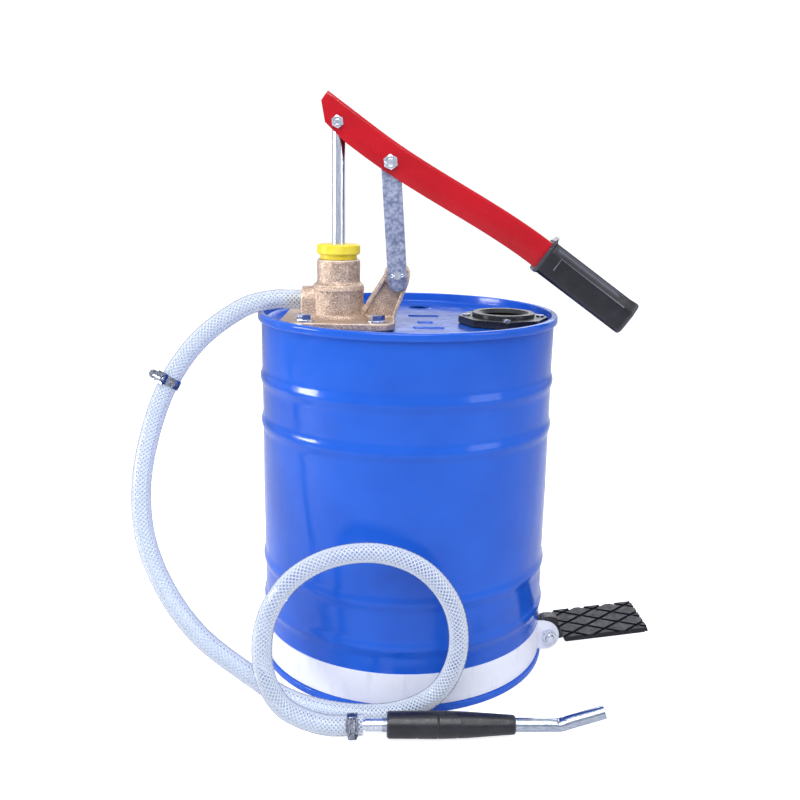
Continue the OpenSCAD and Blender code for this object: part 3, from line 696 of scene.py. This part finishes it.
# ---- drum ----


def hoop_rise(z):
    for hoop in HOOP_ZS:
        u = (z - hoop) / HOOP_H + 0.5
        if 0 < u < 1:
            return HOOP_OUT * math.sin(math.pi * u) ** 2
    return 0


def dent(angle, z):
    """Slow hand-sized waves in the sheet, fading out at both ends of the wall."""
    size, depth = 70, 0.55
    low, high, ramp = 44, 330, 30
    fade = ease((z - low) / ramp) * ease((high - z) / ramp)
    where = Vector((math.cos(angle) * DRUM_R, math.sin(angle) * DRUM_R, z)) / size
    return depth * fade * noise.noise(where)


def bare_inside_painted_shade(piece):
    """Gives the faces inside the closed drum unpainted steel, dark as painted shade."""
    skin = 0.2
    piece.data.materials.append(FINISHES["raw_steel_painted_shade"])
    for face in piece.data.polygons:
        centre = face.center / MM
        within = math.hypot(centre.x, centre.y) < WALL_IN + SHEET / 2
        if within and DRUM_H - LID_Z + skin < centre.z < LID_Z - SHEET + skin:
            face.material_index = 1


def drum_wall():
    """Thin tube with four soft rolling hoops."""
    seat = 2 * SHEET
    steps = 150
    zs = [seat + (DRUM_H - 2 * seat) * i / steps for i in range(steps + 1)]

    def station(r, z):
        return lambda angle: (r + hoop_rise(z) + dent(angle, z), z)

    outside = [station(DRUM_R, z) for z in zs]
    inside = [station(WALL_IN, z) for z in reversed(zs)]
    shape = polar(outside + inside, segments=240, closed=True)
    bare_inside_painted_shade(add_piece("drum_wall", *shape, "frame", "blue_paint", ["drum_shell"]))


def end_profile():
    """Recessed panel with its rolled chime, from the middle of its lower face."""
    roll = 2.4
    toe = 1
    fillet = 3
    border = 12
    out = DRUM_R + CHIME_OUT
    seat = DRUM_H - 2 * SHEET
    under = DRUM_H - CHIME_H
    low = LID_Z - SHEET
    inner_roll = 1.2
    return [
        (0, low), (WALL_IN - border, low), (WALL_IN, low), (WALL_IN, seat), (DRUM_R, seat),
        (DRUM_R, under + 0.6), (DRUM_R + 0.8, under),
        *arc((out - toe, under + toe), toe, -90, 0, 3),
        *arc((out - roll, DRUM_H - roll), roll, 0, 90),
        *arc((LEG_IN + inner_roll, DRUM_H - inner_roll), inner_roll, 90, 180, 4),
        *arc((LEG_IN - fillet, LID_Z + fillet), fillet, 0, -90, 5),
        (LEG_IN - border, LID_Z), (60, LID_Z), (0, LID_Z),
    ]


def capsule(length, radius, matrix):
    """Rod with round ends along +X."""
    rows = [(0, -length / 2)]
    rows += [(x, y - length / 2 + radius) for x, y in arc((0, 0), radius, -80, 0, 4)]
    rows += [(x, y + length / 2 - radius) for x, y in arc((0, 0), radius, 0, 80, 4)]
    rows.append((0, length / 2))
    return moved(matrix @ turned(90, "Y"), polar(rows, segments=16))


def drill(x, y, radius):
    """Upright cylinder used to cut a hole in the lid."""
    reach = 6
    ends = [(radius, LID_Z - reach), (radius, LID_Z + reach)]
    return loose("drill", *moved(upright(x, y), polar(ends, 48)))


def drum_lid():
    lid = loose("drum_top", *polar(end_profile(), segments=240))
    beads = [(16, 28, 32), (17, -16, 16), (20, -50, 30)]  # place and length
    bead_r, bead_sink = 2, 0.6
    raised = [
        loose("bead", *capsule(length, bead_r, upright(x, y, LID_Z - bead_sink)))
        for x, y, length in beads
    ]
    rim = [(VENT_R + 1.6, LID_Z - 0.2), (VENT_R + 0.7, LID_Z + 0.7), (VENT_R - 0.5, LID_Z + 0.7)]
    raised.append(loose("rim", *moved(upright(VENT.x, VENT.y), polar(rim, 48))))
    combine(lid, raised, "UNION")
    holes = [drill(PUMP.x, PUMP.y, BARREL_R + 0.5), drill(PORT.x, PORT.y, NECK_R)]
    holes.append(drill(VENT.x, VENT.y, VENT_R))
    holes += [drill(c.x, c.y, BOLT_R) for c in solid_centres("head_bolts")]
    holes += [drill(c.x, c.y, BOLT_R / 2) for c in solid_centres("fill_port_screws")]
    combine(lid, holes, "DIFFERENCE")
    bare_inside_painted_shade(dress(lid, "frame", "blue_paint", ["drum_lid"], 40))


def drum_bottom():
    shape = polar([(r, DRUM_H - z) for r, z in end_profile()], segments=240)
    bare_inside_painted_shade(add_piece("drum_foot", *shape, "frame", "blue_paint", ["drum_bottom"], 40))


# ---- filler opening ----


def filler_collar():
    """Collar with a rolled rim and an internal thread."""
    top = PORT_TOP + 4
    foot = PORT_TOP - 14
    pitch, thread_h = 2.5, 1.2
    collar_r, rim_r, lip_r = 30, 0.9, 0.8
    outside = [(NECK_R, foot), (NECK_R, PORT_TOP), (collar_r, PORT_TOP)]
    outside += arc((collar_r - rim_r, top - rim_r), rim_r, 0, 90, 4)
    outside += arc((PORT_R + 4, top - lip_r), lip_r, 90, 180, 3)
    inside = []
    z = top - 2.4
    while z > foot + pitch:
        inside += [(PORT_R + thread_h, z), (PORT_R, z - pitch * 0.5)]
        z -= pitch
    inside += [(PORT_R, foot)]
    shape = moved(upright(PORT.x, PORT.y), polar(outside + inside, 96, closed=True))
    add_piece("filler_collar", *shape, "frame", "black_coat", ["fill_port_collar"], 30)


# ---- pump head ----


def casting_tools():
    """Extra cast features: a rolled shoulder and the mould's two parting lines."""
    barrel = upright(PUMP.x, PUMP.y)
    foot_z = box_mm("pump_head")[0].z + 22
    neck_z = PUMP.z - 30
    shoulder = [(BARREL_R + 0.9 * math.cos(a), neck_z + 1.6 * math.sin(a)) for a in around(12)]
    tools = [moved(barrel, polar(shoulder, 64, closed=True))]
    line_r = 0.8
    for angle in (-62, 118):
        lines = ((BARREL_R, foot_z, neck_z), (UPPER_BARREL_R, neck_z, neck_z + 20))
        for radius, low, high in lines:
            bar = moved(upright(radius, 0), polar([(line_r, low), (line_r, high)], 12))
            tools.append(moved(barrel @ turned(angle), bar))
    return tools


def roughen(mesh):
    """Moves each point along its normal by the lumps and grain of a sand casting."""
    moves = []
    for vert in mesh.vertices:
        where = vert.co / MM
        rough = 0.22 * noise.noise(where / 7) + 0.1 * noise.noise(where / 1.9)
        moves.append(vert.co + vert.normal * rough * MM)
    for vert, place in zip(mesh.vertices, moves):
        vert.co = place


def pump_head():
    """The CAD casting, remeshed so that its corners are filleted and its skin is rough."""
    bm = welded("pump_head")
    points = [v.co.copy() for v in bm.verts]
    faces = [tuple(v.index for v in f.verts) for f in bm.faces]
    bm.free()
    head = loose("pump_casting", *joined([(points, faces), *casting_tools()]))
    remesh = head.modifiers.new("remesh", "REMESH")
    remesh.mode = "VOXEL"
    remesh.voxel_size = 0.85 * MM
    smooth = head.modifiers.new("smooth", "SMOOTH")
    smooth.factor = 0.5
    smooth.iterations = 7
    bake(head)
    roughen(head.data)
    dress(head, "frame", "cast_bronze", ["pump_head"], 60)


def head_bolts():
    """Four hex bolts, each turned a little differently, as they were tightened."""
    head_z = box_mm("head_washers")[1].z
    shank = head_z - box_mm("head_bolts")[0].z
    one = bolt(BOLT_FLATS, BOLT_HEAD_H, BOLT_R, shank, BOLT_THREAD)
    shapes = []
    for i, c in enumerate(solid_centres("head_bolts")):
        shapes.append(moved(upright(c.x, c.y, head_z) @ turned(17 + 23 * i), one))
    add_piece("flange_bolts", *joined(shapes), "frame", "bright_steel", ["head_bolts"])


# ---- lever ----


def on_lever():
    return Matrix.Translation(ROD_PIN) @ Matrix.Rotation(LEVER_DIP, 4, "Y")


def lever_mid(x):
    return LEVER_LIFT + LEVER_CLIMB * ease((x - LEVER_BEND_START) / LEVER_BEND_LEN)


def lever_low(x):
    """Lower edge of the cheeks, with the cropped nose."""
    crop_end = 15
    if x > crop_end:
        return lever_mid(x) - LEVER_H / 2
    crop_low = lever_mid(crop_end) - LEVER_H / 2
    return on_marks([(LEVER_NOSE, 6.2), (-9, -6.9), (crop_end, crop_low)], x)


def lever_section(x):
    """Outline of the pressed channel at x: outside up and over, then back inside."""
    low = lever_low(x)
    top = lever_mid(x) + LEVER_H / 2
    half = LEVER_W / 2
    bend = 3.2
    row = [(half, low)]
    row += arc((half - bend, top - bend), bend, 0, 90)
    row += arc((-half + bend, top - bend), bend, 90, 180)
    row += [(-half, low), (-half + LEVER_T, low)]
    inner = bend - LEVER_T
    row += arc((-half + bend, top - bend), inner, 180, 90)
    row += arc((half - bend, top - bend), inner, 90, 0)
    row += [(half - LEVER_T, low)]
    return [(x, y, z) for y, z in row]


def lever_arm():
    xs = [LEVER_NOSE, -16, -9, -2, 5, 15, *range(21, LEVER_END, 6), LEVER_END]
    shape = grid([lever_section(x) for x in xs], caps=True)
    arm = loose("lever_channel", *moved(on_lever(), shape))
    reach = 20
    holes = []
    for x, r in ((0, ROD_BOLT_R), (PIVOT_PITCH, BOLT_R)):
        place = on_lever() @ upright(x, 0) @ turned(90, "X")
        holes.append(loose("drill", *moved(place, polar([(r, -reach), (r, reach)], 32))))
    combine(arm, holes, "DIFFERENCE")
    add_bevel(arm, 0.35, 50)
    bake(arm)
    dress(arm, "lever", "red_enamel", ["lever_arm"], 32)


def grip_section(x):
    """Outline of the grip: a flat top, slanted shoulders, upright sides, round below."""
    end = GRIP_LEN
    end_r, low_r, top_r = 3, 4.5, 3
    lip = max(0, 1 - abs(x - 2) / 2.5)
    swell = 0.7 * ease((x - end + 12) / 8)
    shrink = 0
    if x > end - end_r:
        shrink = end_r * (1 - math.sqrt(max(0, 1 - ((x - end + end_r) / end_r) ** 2)))
    half = GRIP_HALF_W + 0.6 * lip + 0.4 * swell - shrink
    top = GRIP_HALF_H + 5 * lip * lip + swell - shrink
    low = -GRIP_HALF_H - 1.2 * lip + shrink
    flat = half - 5.5
    shoulder = top - 9
    row = arc((half - low_r, low + low_r), low_r, -90, 0, 5)
    row += [(half, shoulder - 1), (half - 0.15, shoulder), (half - 1, shoulder + 1.6)]
    row += arc((flat, top - top_r), top_r, 30, 90, 4)
    return row + [(-y, z) for y, z in reversed(row)]


def grip_line(x0, z0, x1, z1, side):
    """Raised moulding line on the side of the grip."""
    half = 0.55
    rows = []
    for rise, inset in ((-1.5, 0), (0.5, 0), (0.9, 0.3)):
        y = side * GRIP_HALF_W + side * rise
        back, low = x0 - half + inset, z0 - half + inset
        front, high = x1 + half - inset, z1 + half - inset
        rows.append([(back, y, low), (front, y, low), (front, y, high), (back, y, high)])
    return grid(rows, caps=True)


def lever_grip():
    xs = [0, 0.8, 2, 3.2, 4.4, 6, *range(9, 88, 6), 90, 93, 96, 98, 99, 100, 100.7, GRIP_LEN]
    rows = [[(x, y, z) for y, z in grip_section(x)] for x in xs]
    place = on_lever() @ Matrix.Translation((GRIP_X, 0, lever_mid(GRIP_X)))
    grip = loose("grip_sleeve", *moved(place, grid(rows, caps=True)))
    start, end, low, high = 15, 88, -5, 6.6
    lines = []
    for side in (-1, 1):
        for ends in ((start, high, end, high), (start, low, start, high)):
            lines.append(loose("line", *moved(place, grip_line(*ends, side))))
    combine(grip, lines, "UNION")
    room = 0.05
    half = LEVER_W / 2 + room
    tall = LEVER_H / 2 + room
    inside = [[(x, -half, -tall), (x, half, -tall), (x, half, tall), (x, -half, tall)]
              for x in (-8, LEVER_END - GRIP_X + room)]
    combine(grip, [loose("pocket", *moved(place, grid(inside, caps=True)))], "DIFFERENCE")
    dress(grip, "lever", "black_plastic", ["lever_grip"], 30)


def cross_place(x, y, outwards):
    """Lever matrix for a fastener on the line across it; its +Z points to +Y or -Y."""
    return on_lever() @ along((x, y, 0), (0, outwards, 0))


def cross_bolts():
    """The rod bolt and the pivot bolt, with their nuts on the near cheek."""
    half = LEVER_W / 2
    spin = turned(12)
    parts = (
        ("rod_bolt", "rod_bolt_nut", 0, ROD_BOLT_R, ROD_BOLT_FLATS, 1.0),
        ("pivot_bolt", "pivot_nut", PIVOT_PITCH, BOLT_R, PIVOT_FLATS, 1.25),
    )
    for bolt_node, nut_node, x, r, flats, pitch in parts:
        nut_h = 1.6 * r
        reach = LEVER_W + nut_h - 1
        place = cross_place(x, half, 1) @ spin
        shape = moved(place, bolt(flats, 1.3 * r, r, reach - 0.5, nut_h + 3, pitch))
        add_piece(bolt_node + "_screw", *shape, "lever", "bright_steel", [bolt_node])
        shape = moved(cross_place(x, -half, -1) @ spin, lock_nut(flats, nut_h, r + NUT_PLAY))
        add_piece(nut_node + "_hex", *shape, "lever", "bright_steel", [nut_node])


# ---- hose ----


def between(a, b, c, d, t):
    """Point on the curve through b and c, where a and d are the points around them."""
    return 0.5 * (2 * b + (c - a) * t + (2 * a - 5 * b + 4 * c - d) * t * t
                  + (3 * b - a - 3 * c + d) * t ** 3)


def smoothed(way, steps):
    """The way with steps points on each stretch, and its ends kept."""
    w = [2 * way[0] - way[1], *way, 2 * way[-1] - way[-2]]
    line = [between(*w[i:i + 4], j / steps) for i in range(len(w) - 3) for j in range(steps)]
    return line + [way[-1]]


def carried_frames(line):
    """Heading, side and up at each point, carried along the line without twist."""
    frames = []
    side = None
    for i, point in enumerate(line):
        heading = (line[min(i + 1, len(line) - 1)] - line[max(i - 1, 0)]).normalized()
        guess = side if side else Vector((0, 1, 0))
        side = (guess - heading * guess.dot(heading)).normalized()
        frames.append((heading, side, heading.cross(side)))
    return frames


def tube_rows(line, radius, sides):
    rows = []
    for point, (_, side, up) in zip(line, carried_frames(line)):
        rows.append([point + radius * (side * math.cos(a) + up * math.sin(a)) for a in around(sides)])
    return rows


def hose_wall(line):
    outer = tube_rows(line, HOSE_R, 28)
    inner = tube_rows(line, HOSE_BORE_R, 28)
    shape = grid(outer + inner[::-1], close_rows=True)
    add_piece("hose_wall", *shape, "frame", "clear_hose", ["hose"], 60)


def hose_braid(line):
    """Two sets of yarns wound opposite ways inside the wall."""
    yarns = 11
    yarn_r = 0.5
    inner_r, outer_r = 7.35, 8.05
    lay = 44  # mm along the hose for one full turn
    frames = carried_frames(line)
    way = [0]
    for a, b in zip(line, line[1:]):
        way.append(way[-1] + (b - a).length)
    shapes = []
    for hand, radius in ((1, inner_r), (-1, outer_r)):
        for yarn in range(yarns):
            path = []
            for point, (_, side, up), s in zip(line, frames, way):
                angle = TURN * (yarn / yarns + hand * s / lay)
                path.append(point + radius * (side * math.cos(angle) + up * math.sin(angle)))
            shapes.append(grid(tube_rows(path, yarn_r, 5), caps=True))
    add_piece("hose_braid", *joined(shapes), "frame", "hose_yarn")


def clamp_place(centre, screw, line):
    """Clamp matrix: +Z along the hose and +Y towards the screw."""
    i = min(range(len(line)), key=lambda k: (line[k] - centre).length)
    heading = carried_frames(line)[i][0]
    return along(centre, heading, screw - centre)


def clamp_band():
    """Strap with a row of pressed slots all the way round."""
    width, thick, slots = 9, 0.8, 30
    inner = HOSE_R + 0.45
    edges = [-width / 2, -width / 5, width / 5, width / 2]
    columns = 2 * slots
    points = []
    for r in (inner, inner + thick):
        for z in edges:
            points += [(r * math.cos(a), r * math.sin(a), z) for a in around(columns)]

    def at(skin, row, k):
        return (skin * len(edges) + row) * columns + k % columns

    def rim(start, end):
        """Face across the sheet's thickness along one edge."""
        return at(0, *start), at(0, *end), at(1, *end), at(1, *start)

    faces = []
    for k in range(columns):
        solid = k % 2 == 0
        for row in (0, 1, 2) if solid else (0, 2):
            quad = [(row, k), (row, k + 1), (row + 1, k + 1), (row + 1, k)]
            faces.append(tuple(at(1, *q) for q in quad))
            faces.append(tuple(at(0, *q) for q in reversed(quad)))
        if solid:
            faces += [rim((1, k), (2, k)), rim((1, k + 1), (2, k + 1))]
        for row in (0, 3) if solid else (0, 1, 2, 3):
            faces.append(rim((row, k), (row, k + 1)))
    return points, faces


def clamp_housing():
    """Pressed bridge over the worm screw, with feet folded round the strap."""
    base = HOSE_R + 0.9
    foot, foot_h = 5.4, 3
    dome_r, dome_h = 4, 3.4
    edge = 0.4
    rows = []
    for x, inset in ((-5.6, edge), (-5.2, 0), (5.2, 0), (5.6, edge)):
        outline = [(-foot + inset, base), (-foot + inset, base + foot_h)]
        outline += [(-c, base + dome_h + s) for c, s in arc((0, 0), dome_r - inset, 0, 180, 10)]
        outline += [(foot - inset, base + foot_h), (foot - inset, base)]
        rows.append([(x, y, z) for z, y in outline])
    return grid(rows, caps=True)


def clamp_screw():
    """Worm screw along X with a socketed hex head at its -X end."""
    place = upright(0, HOSE_R + 4.4) @ turned(-90, "Y")
    tip, thread_low, head_low, head_high, socket_z = -7.6, -7.2, 6.9, 11.4, 10.2
    tip_r, worm_r, socket_r = 1.8, 2.6, 0.7
    stations = [(0, tip), (tip_r, tip), *thread_stations(worm_r, thread_low, head_low, 1.6)]
    stations += hex_stations(7, head_low, head_high)
    stations += [(socket_r, head_high), (socket_r, socket_z), (0, socket_z)]
    return moved(place, polar(stations, 48))


def hose_clamps(line):
    """The two worm-drive clamps, placed by their CAD bands and screws."""
    bands = solid_centres("hose_clamp_band")
    screws = solid_centres("hose_clamp_screw")
    places = []
    for band in bands:
        screw = min(screws, key=lambda s: (s - band).length)
        places.append(clamp_place(band, screw, line))
    parts = (
        ("clamp_straps", clamp_band(), "hose_clamp_band"),
        ("clamp_bridges", clamp_housing(), "hose_clamp_housing"),
        ("clamp_worms", clamp_screw(), "hose_clamp_screw"),
    )
    for name, shape, node in parts:
        both = joined([moved(place, shape) for place in places])
        add_piece(name, *both, "frame", "clamp_steel", [node])


# ---- nozzle ----


def on_nozzle():
    """Nozzle matrix: +X runs from the start of the barb along the tube."""
    turn = turned(NOZZLE_TURN)
    start = centre_mm("nozzle_barb") - turn @ Vector((BARB_LEN / 2, 0, 0))
    return Matrix.Translation(start) @ turn


def nozzle_line(bend_from, bend_len):
    """Middle of the tube each millimetre, as pairs of distance and point."""
    stations = []
    point = Vector((BARB_LEN, 0, 0))
    for s in range(BARB_LEN, NOZZLE_STRAIGHT + NOZZLE_TIP + 2):
        stations.append((s, point.copy()))
        angle = NOZZLE_BEND * ease((s - bend_from) / bend_len)
        point += Vector((math.cos(angle), 0, math.sin(angle)))
    return stations


def nozzle_tube():
    """Steel tube with one sharp bend, creased on the inside of the bend."""
    crease_len = 5
    flatten, crease, ripple = 0.05, 1.1, 0.45
    bend_from = NOZZLE_STRAIGHT - 3
    bend_len = 8
    stations = nozzle_line(bend_from, bend_len)
    frames = carried_frames([point for _, point in stations])
    skins = []
    for radius in (NOZZLE_R, NOZZLE_R - 1):
        rows = []
        for (s, point), (_, side, up) in zip(stations, frames):
            near = math.exp(-((s - bend_from - bend_len / 2) / crease_len) ** 2)
            sink = near * (crease - ripple * math.cos((s - bend_from) * 1.1))
            row = []
            for a in around(40):
                inside = max(0, math.sin(a) * math.copysign(1, up.z))
                r = radius * (1 + flatten * near * abs(math.cos(a))) - sink * inside ** 3
                row.append(point + r * (side * math.cos(a) + up * math.sin(a)))
            rows.append(row)
        skins.append(rows)
    shape = moved(on_nozzle(), grid(skins[0] + skins[1][::-1], close_rows=True))
    add_piece("nozzle_pipe", *shape, "frame", "chrome_steel", ["nozzle_tube"], 50)


def groove(distance, width=0.5):
    return math.exp(-((distance / width) ** 2))


def handle_radius(x, a):
    """Radius of the nozzle's grip at x from its inlet end, with its rings, marks and flutes."""
    profile = [(0, 10.4), (1.6, 11.6), (44, 11.9), (70, 11.2), (112, 8.4)]
    upper = a > math.pi
    r = on_marks(profile, x) - 0.45 * groove(x - 45)
    r -= 0.35 * groove(x - 26, 0.7) * upper
    r -= 0.5 * groove(x - 62) * upper
    mark = ease((x - 34) / 2) * ease((62 - x) / 2)
    r -= 0.45 * groove((a - math.pi) * 11) * mark
    flutes = ease((x - 64) / 4) * ease((108 - x) / 6)
    r -= 0.12 * (1 + math.cos(8 * a)) * flutes
    return r - 0.9 * ease((x - HANDLE_LEN + 1.2) / 1.2)


def nozzle_grip():
    """Turned grip with finger rings and the mould's parting marks."""
    steps = 210

    def ring(x, radius):
        return [(x, -radius(x, a) * math.cos(a), radius(x, a) * math.sin(a)) for a in around(72)]

    rows = [ring(HANDLE_LEN * i / steps, handle_radius) for i in range(steps + 1)]
    bore = [ring(x, lambda x, a: NOZZLE_R) for x in (HANDLE_LEN, 0)]
    place = on_nozzle() @ Matrix.Translation((HANDLE_X, 0, 0))
    shape = moved(place, grid(rows + bore, close_rows=True))
    add_piece("nozzle_handle", *shape, "frame", "black_plastic", ["nozzle_grip"], 40)


# ---- pedal ----


def pedal_bolt():
    """The pedal's hinge bolt across the band's two ears."""
    screw_low, screw_high = box_mm("pedal_bolt_screw")
    nut_low, nut_high = box_mm("pedal_bolt_nut")
    axis = joint_mm("pedal_tilt")
    far = screw_high.y - BOLT_HEAD_H
    spin = turned(20)
    place = along((axis.x, far, axis.z), (0, 1, 0)) @ spin
    shape = bolt(BOLT_FLATS, BOLT_HEAD_H, BOLT_R, far - screw_low.y - 0.5, BOLT_THREAD)
    add_piece("hinge_screw", *moved(place, shape), "frame", "bright_steel", ["pedal_bolt_screw"])
    place = along((axis.x, nut_high.y, axis.z), (0, -1, 0)) @ spin
    shape = nut(BOLT_FLATS, nut_high.y - nut_low.y, BOLT_R + NUT_PLAY)
    add_piece("hinge_nut", *moved(place, shape), "frame", "bright_steel", ["pedal_bolt_nut"])


# ---- CAD nodes that stay ----

# Edge radius of each CAD node whose shape is shown as it is, by finish.
CAD_FINISH = {
    "black_coat": {"fill_port_flange": 0.5, "pedal_bracket": 0.6},
    "black_rubber": {"pedal_pad": 0.35},
    "white_coat": {"base_band": 0.3},
    "yellow_plastic": {"gland_nut": 0.4},
    "zinc": {"link_front": 0.3, "link_rear": 0.3},
    "packing": {"gland_packing": 0},
    "seal_rubber": {
        "fill_port_gasket": 0, "head_gasket": 0, "piston_seals": 0.3, "piston_valve": 0.2,
    },
    "turned_brass": {"outlet_barb": 0, "piston_body": 0.2, "foot_valve_body": 0.5},
    "chrome_steel": {"foot_valve_ball": 0},
    "bright_steel": {
        "fill_port_screws": 0.15, "head_washers": 0.25, "head_nuts": 0.4, "piston_rod": 0.5,
        "piston_nut": 0.4, "piston_stop_ring": 0.2, "pump_tube": 0.2, "foot_valve_stop": 0.2,
        "inlet_strainer": 0.15, "rod_spacers": 0.2, "link_top_pin": 0.2, "link_spacer": 0.3,
        "eye_pin": 0.4, "eye_cotter": 0, "nozzle_barb": 0.1,
    },
}


def finish_cad_node(node, finish, radius):
    """Paints a CAD node, and breaks its sharp edges with modifiers."""
    obj = NODES[node]
    obj.data.materials.clear()
    obj.data.materials.append(FINISHES[finish])
    weld = obj.modifiers.new("weld", "WELD")
    weld.merge_threshold = WELD * MM
    if radius:
        flat = obj.modifiers.new("flat", "DECIMATE")
        flat.decimate_type = "DISSOLVE"
        flat.angle_limit = math.radians(1)
        add_bevel(obj, radius, 32)
    shade = obj.modifiers.new("shade", "WEIGHTED_NORMAL")
    shade.keep_sharp = False


# ---- studio ----


def add_light(name, place, target, size, power):
    """Rectangular lamp aimed at a target, in metres and watts."""
    data = bpy.data.lights.new(name, "AREA")
    data.shape = "RECTANGLE"
    data.size, data.size_y = size
    data.energy = power
    lamp = bpy.data.objects.new(name, data)
    bpy.context.scene.collection.objects.link(lamp)
    aim = Vector(target) - Vector(place)
    turn = aim.to_track_quat("-Z", "Y").to_matrix().to_4x4()
    lamp.matrix_world = Matrix.Translation(place) @ turn


def studio_world():
    """White to the camera, a grey room for soft light and a paler one in reflections."""
    world = bpy.data.worlds.new("studio")
    world.use_nodes = True
    nodes, links = world.node_tree.nodes, world.node_tree.links
    room = nodes["Background"]
    room.inputs["Color"].default_value = (0.86, 0.9, 1, 1)
    path = nodes.new("ShaderNodeLightPath")
    level = nodes.new("ShaderNodeMapRange")
    level.inputs["To Min"].default_value = 0.42
    level.inputs["To Max"].default_value = 0.75
    links.new(path.outputs["Is Glossy Ray"], level.inputs["Value"])
    links.new(level.outputs["Result"], room.inputs["Strength"])
    white = nodes.new("ShaderNodeBackground")
    white.inputs["Color"].default_value = (1, 1, 1, 1)
    white.inputs["Strength"].default_value = 1.05
    pick = nodes.new("ShaderNodeMixShader")
    links.new(path.outputs["Is Camera Ray"], pick.inputs["Fac"])
    links.new(room.outputs[0], pick.inputs[1])
    links.new(white.outputs[0], pick.inputs[2])
    links.new(pick.outputs[0], nodes["World Output"].inputs["Surface"])
    bpy.context.scene.world = world


def studio_floor():
    """Pale floor that glows a little to the camera, so that it meets the white room unseen."""
    size = 4
    mesh = bpy.data.meshes.new("floor")
    corners = [(-size, -size, 0), (size, -size, 0), (size, size, 0), (-size, size, 0)]
    mesh.from_pydata(corners, [], [(0, 1, 2, 3)])
    floor = bpy.data.objects.new("floor", mesh)
    bpy.context.scene.collection.objects.link(floor)
    f = Finish("floor")
    f.set(Base_Color=f.mix(f.noise(300), (0.82, 0.82, 0.84, 1), (0.8, 0.8, 0.82, 1)))
    f.set(Roughness=0.6, Emission_Color=(1, 1, 1, 1))
    path = f.nodes.new("ShaderNodeLightPath")
    f.set(Emission_Strength=f.times(path.outputs["Is Camera Ray"], 0.75))
    mesh.materials.append(f.material)


def studio():
    studio_world()
    studio_floor()
    add_light("key", (-1.4, -0.32, 0.5), (0, 0, 0.3), (0.5, 0.26), 11)
    add_light("front", (-0.2, -1.9, 2.3), (0, 0, 0.2), (2.2, 1.4), 40)
    add_light("strip", (0.1, -0.8, 1.9), (0, 0, 0.4), (1.2, 0.12), 9)
    add_light("fill", (1.5, -0.9, 0.8), (0, 0, 0.2), (0.8, 1.0), 6)
    add_light("top", (0, 0.1, 2.0), (0, 0, 0), (1.6, 1.6), 5)
    add_light("back", (0.5, 1.8, 1.2), (0, 0, 0.3), (1.4, 0.8), 8)
    bpy.context.scene.view_settings.view_transform = "Standard"


def studio_camera():
    """Camera a little above the drum's top, looking down at its front. Angles in degrees."""
    yaw = 0.388
    pitch = 13.387
    roll = 0.906
    place = upright(0, -0.9095, 0.479)
    data = bpy.data.cameras.new("camera")
    data.lens = 41.8
    data.sensor_width = 36
    camera = bpy.data.objects.new("camera", data)
    bpy.context.scene.collection.objects.link(camera)
    camera.matrix_world = place @ turned(yaw) @ turned(90 - pitch, "X") @ turned(roll)
    bpy.context.scene.camera = camera


def main():
    drum_wall()
    drum_lid()
    drum_bottom()
    filler_collar()
    pump_head()
    head_bolts()
    lever_arm()
    lever_grip()
    cross_bolts()
    line = smoothed(hose_centres(), 4)
    hose_wall(line)
    hose_braid(line)
    hose_clamps(line)
    nozzle_tube()
    nozzle_grip()
    pedal_bolt()
    for finish, radii in CAD_FINISH.items():
        for node, radius in radii.items():
            finish_cad_node(node, finish, radius)
    studio()
    studio_camera()


main()
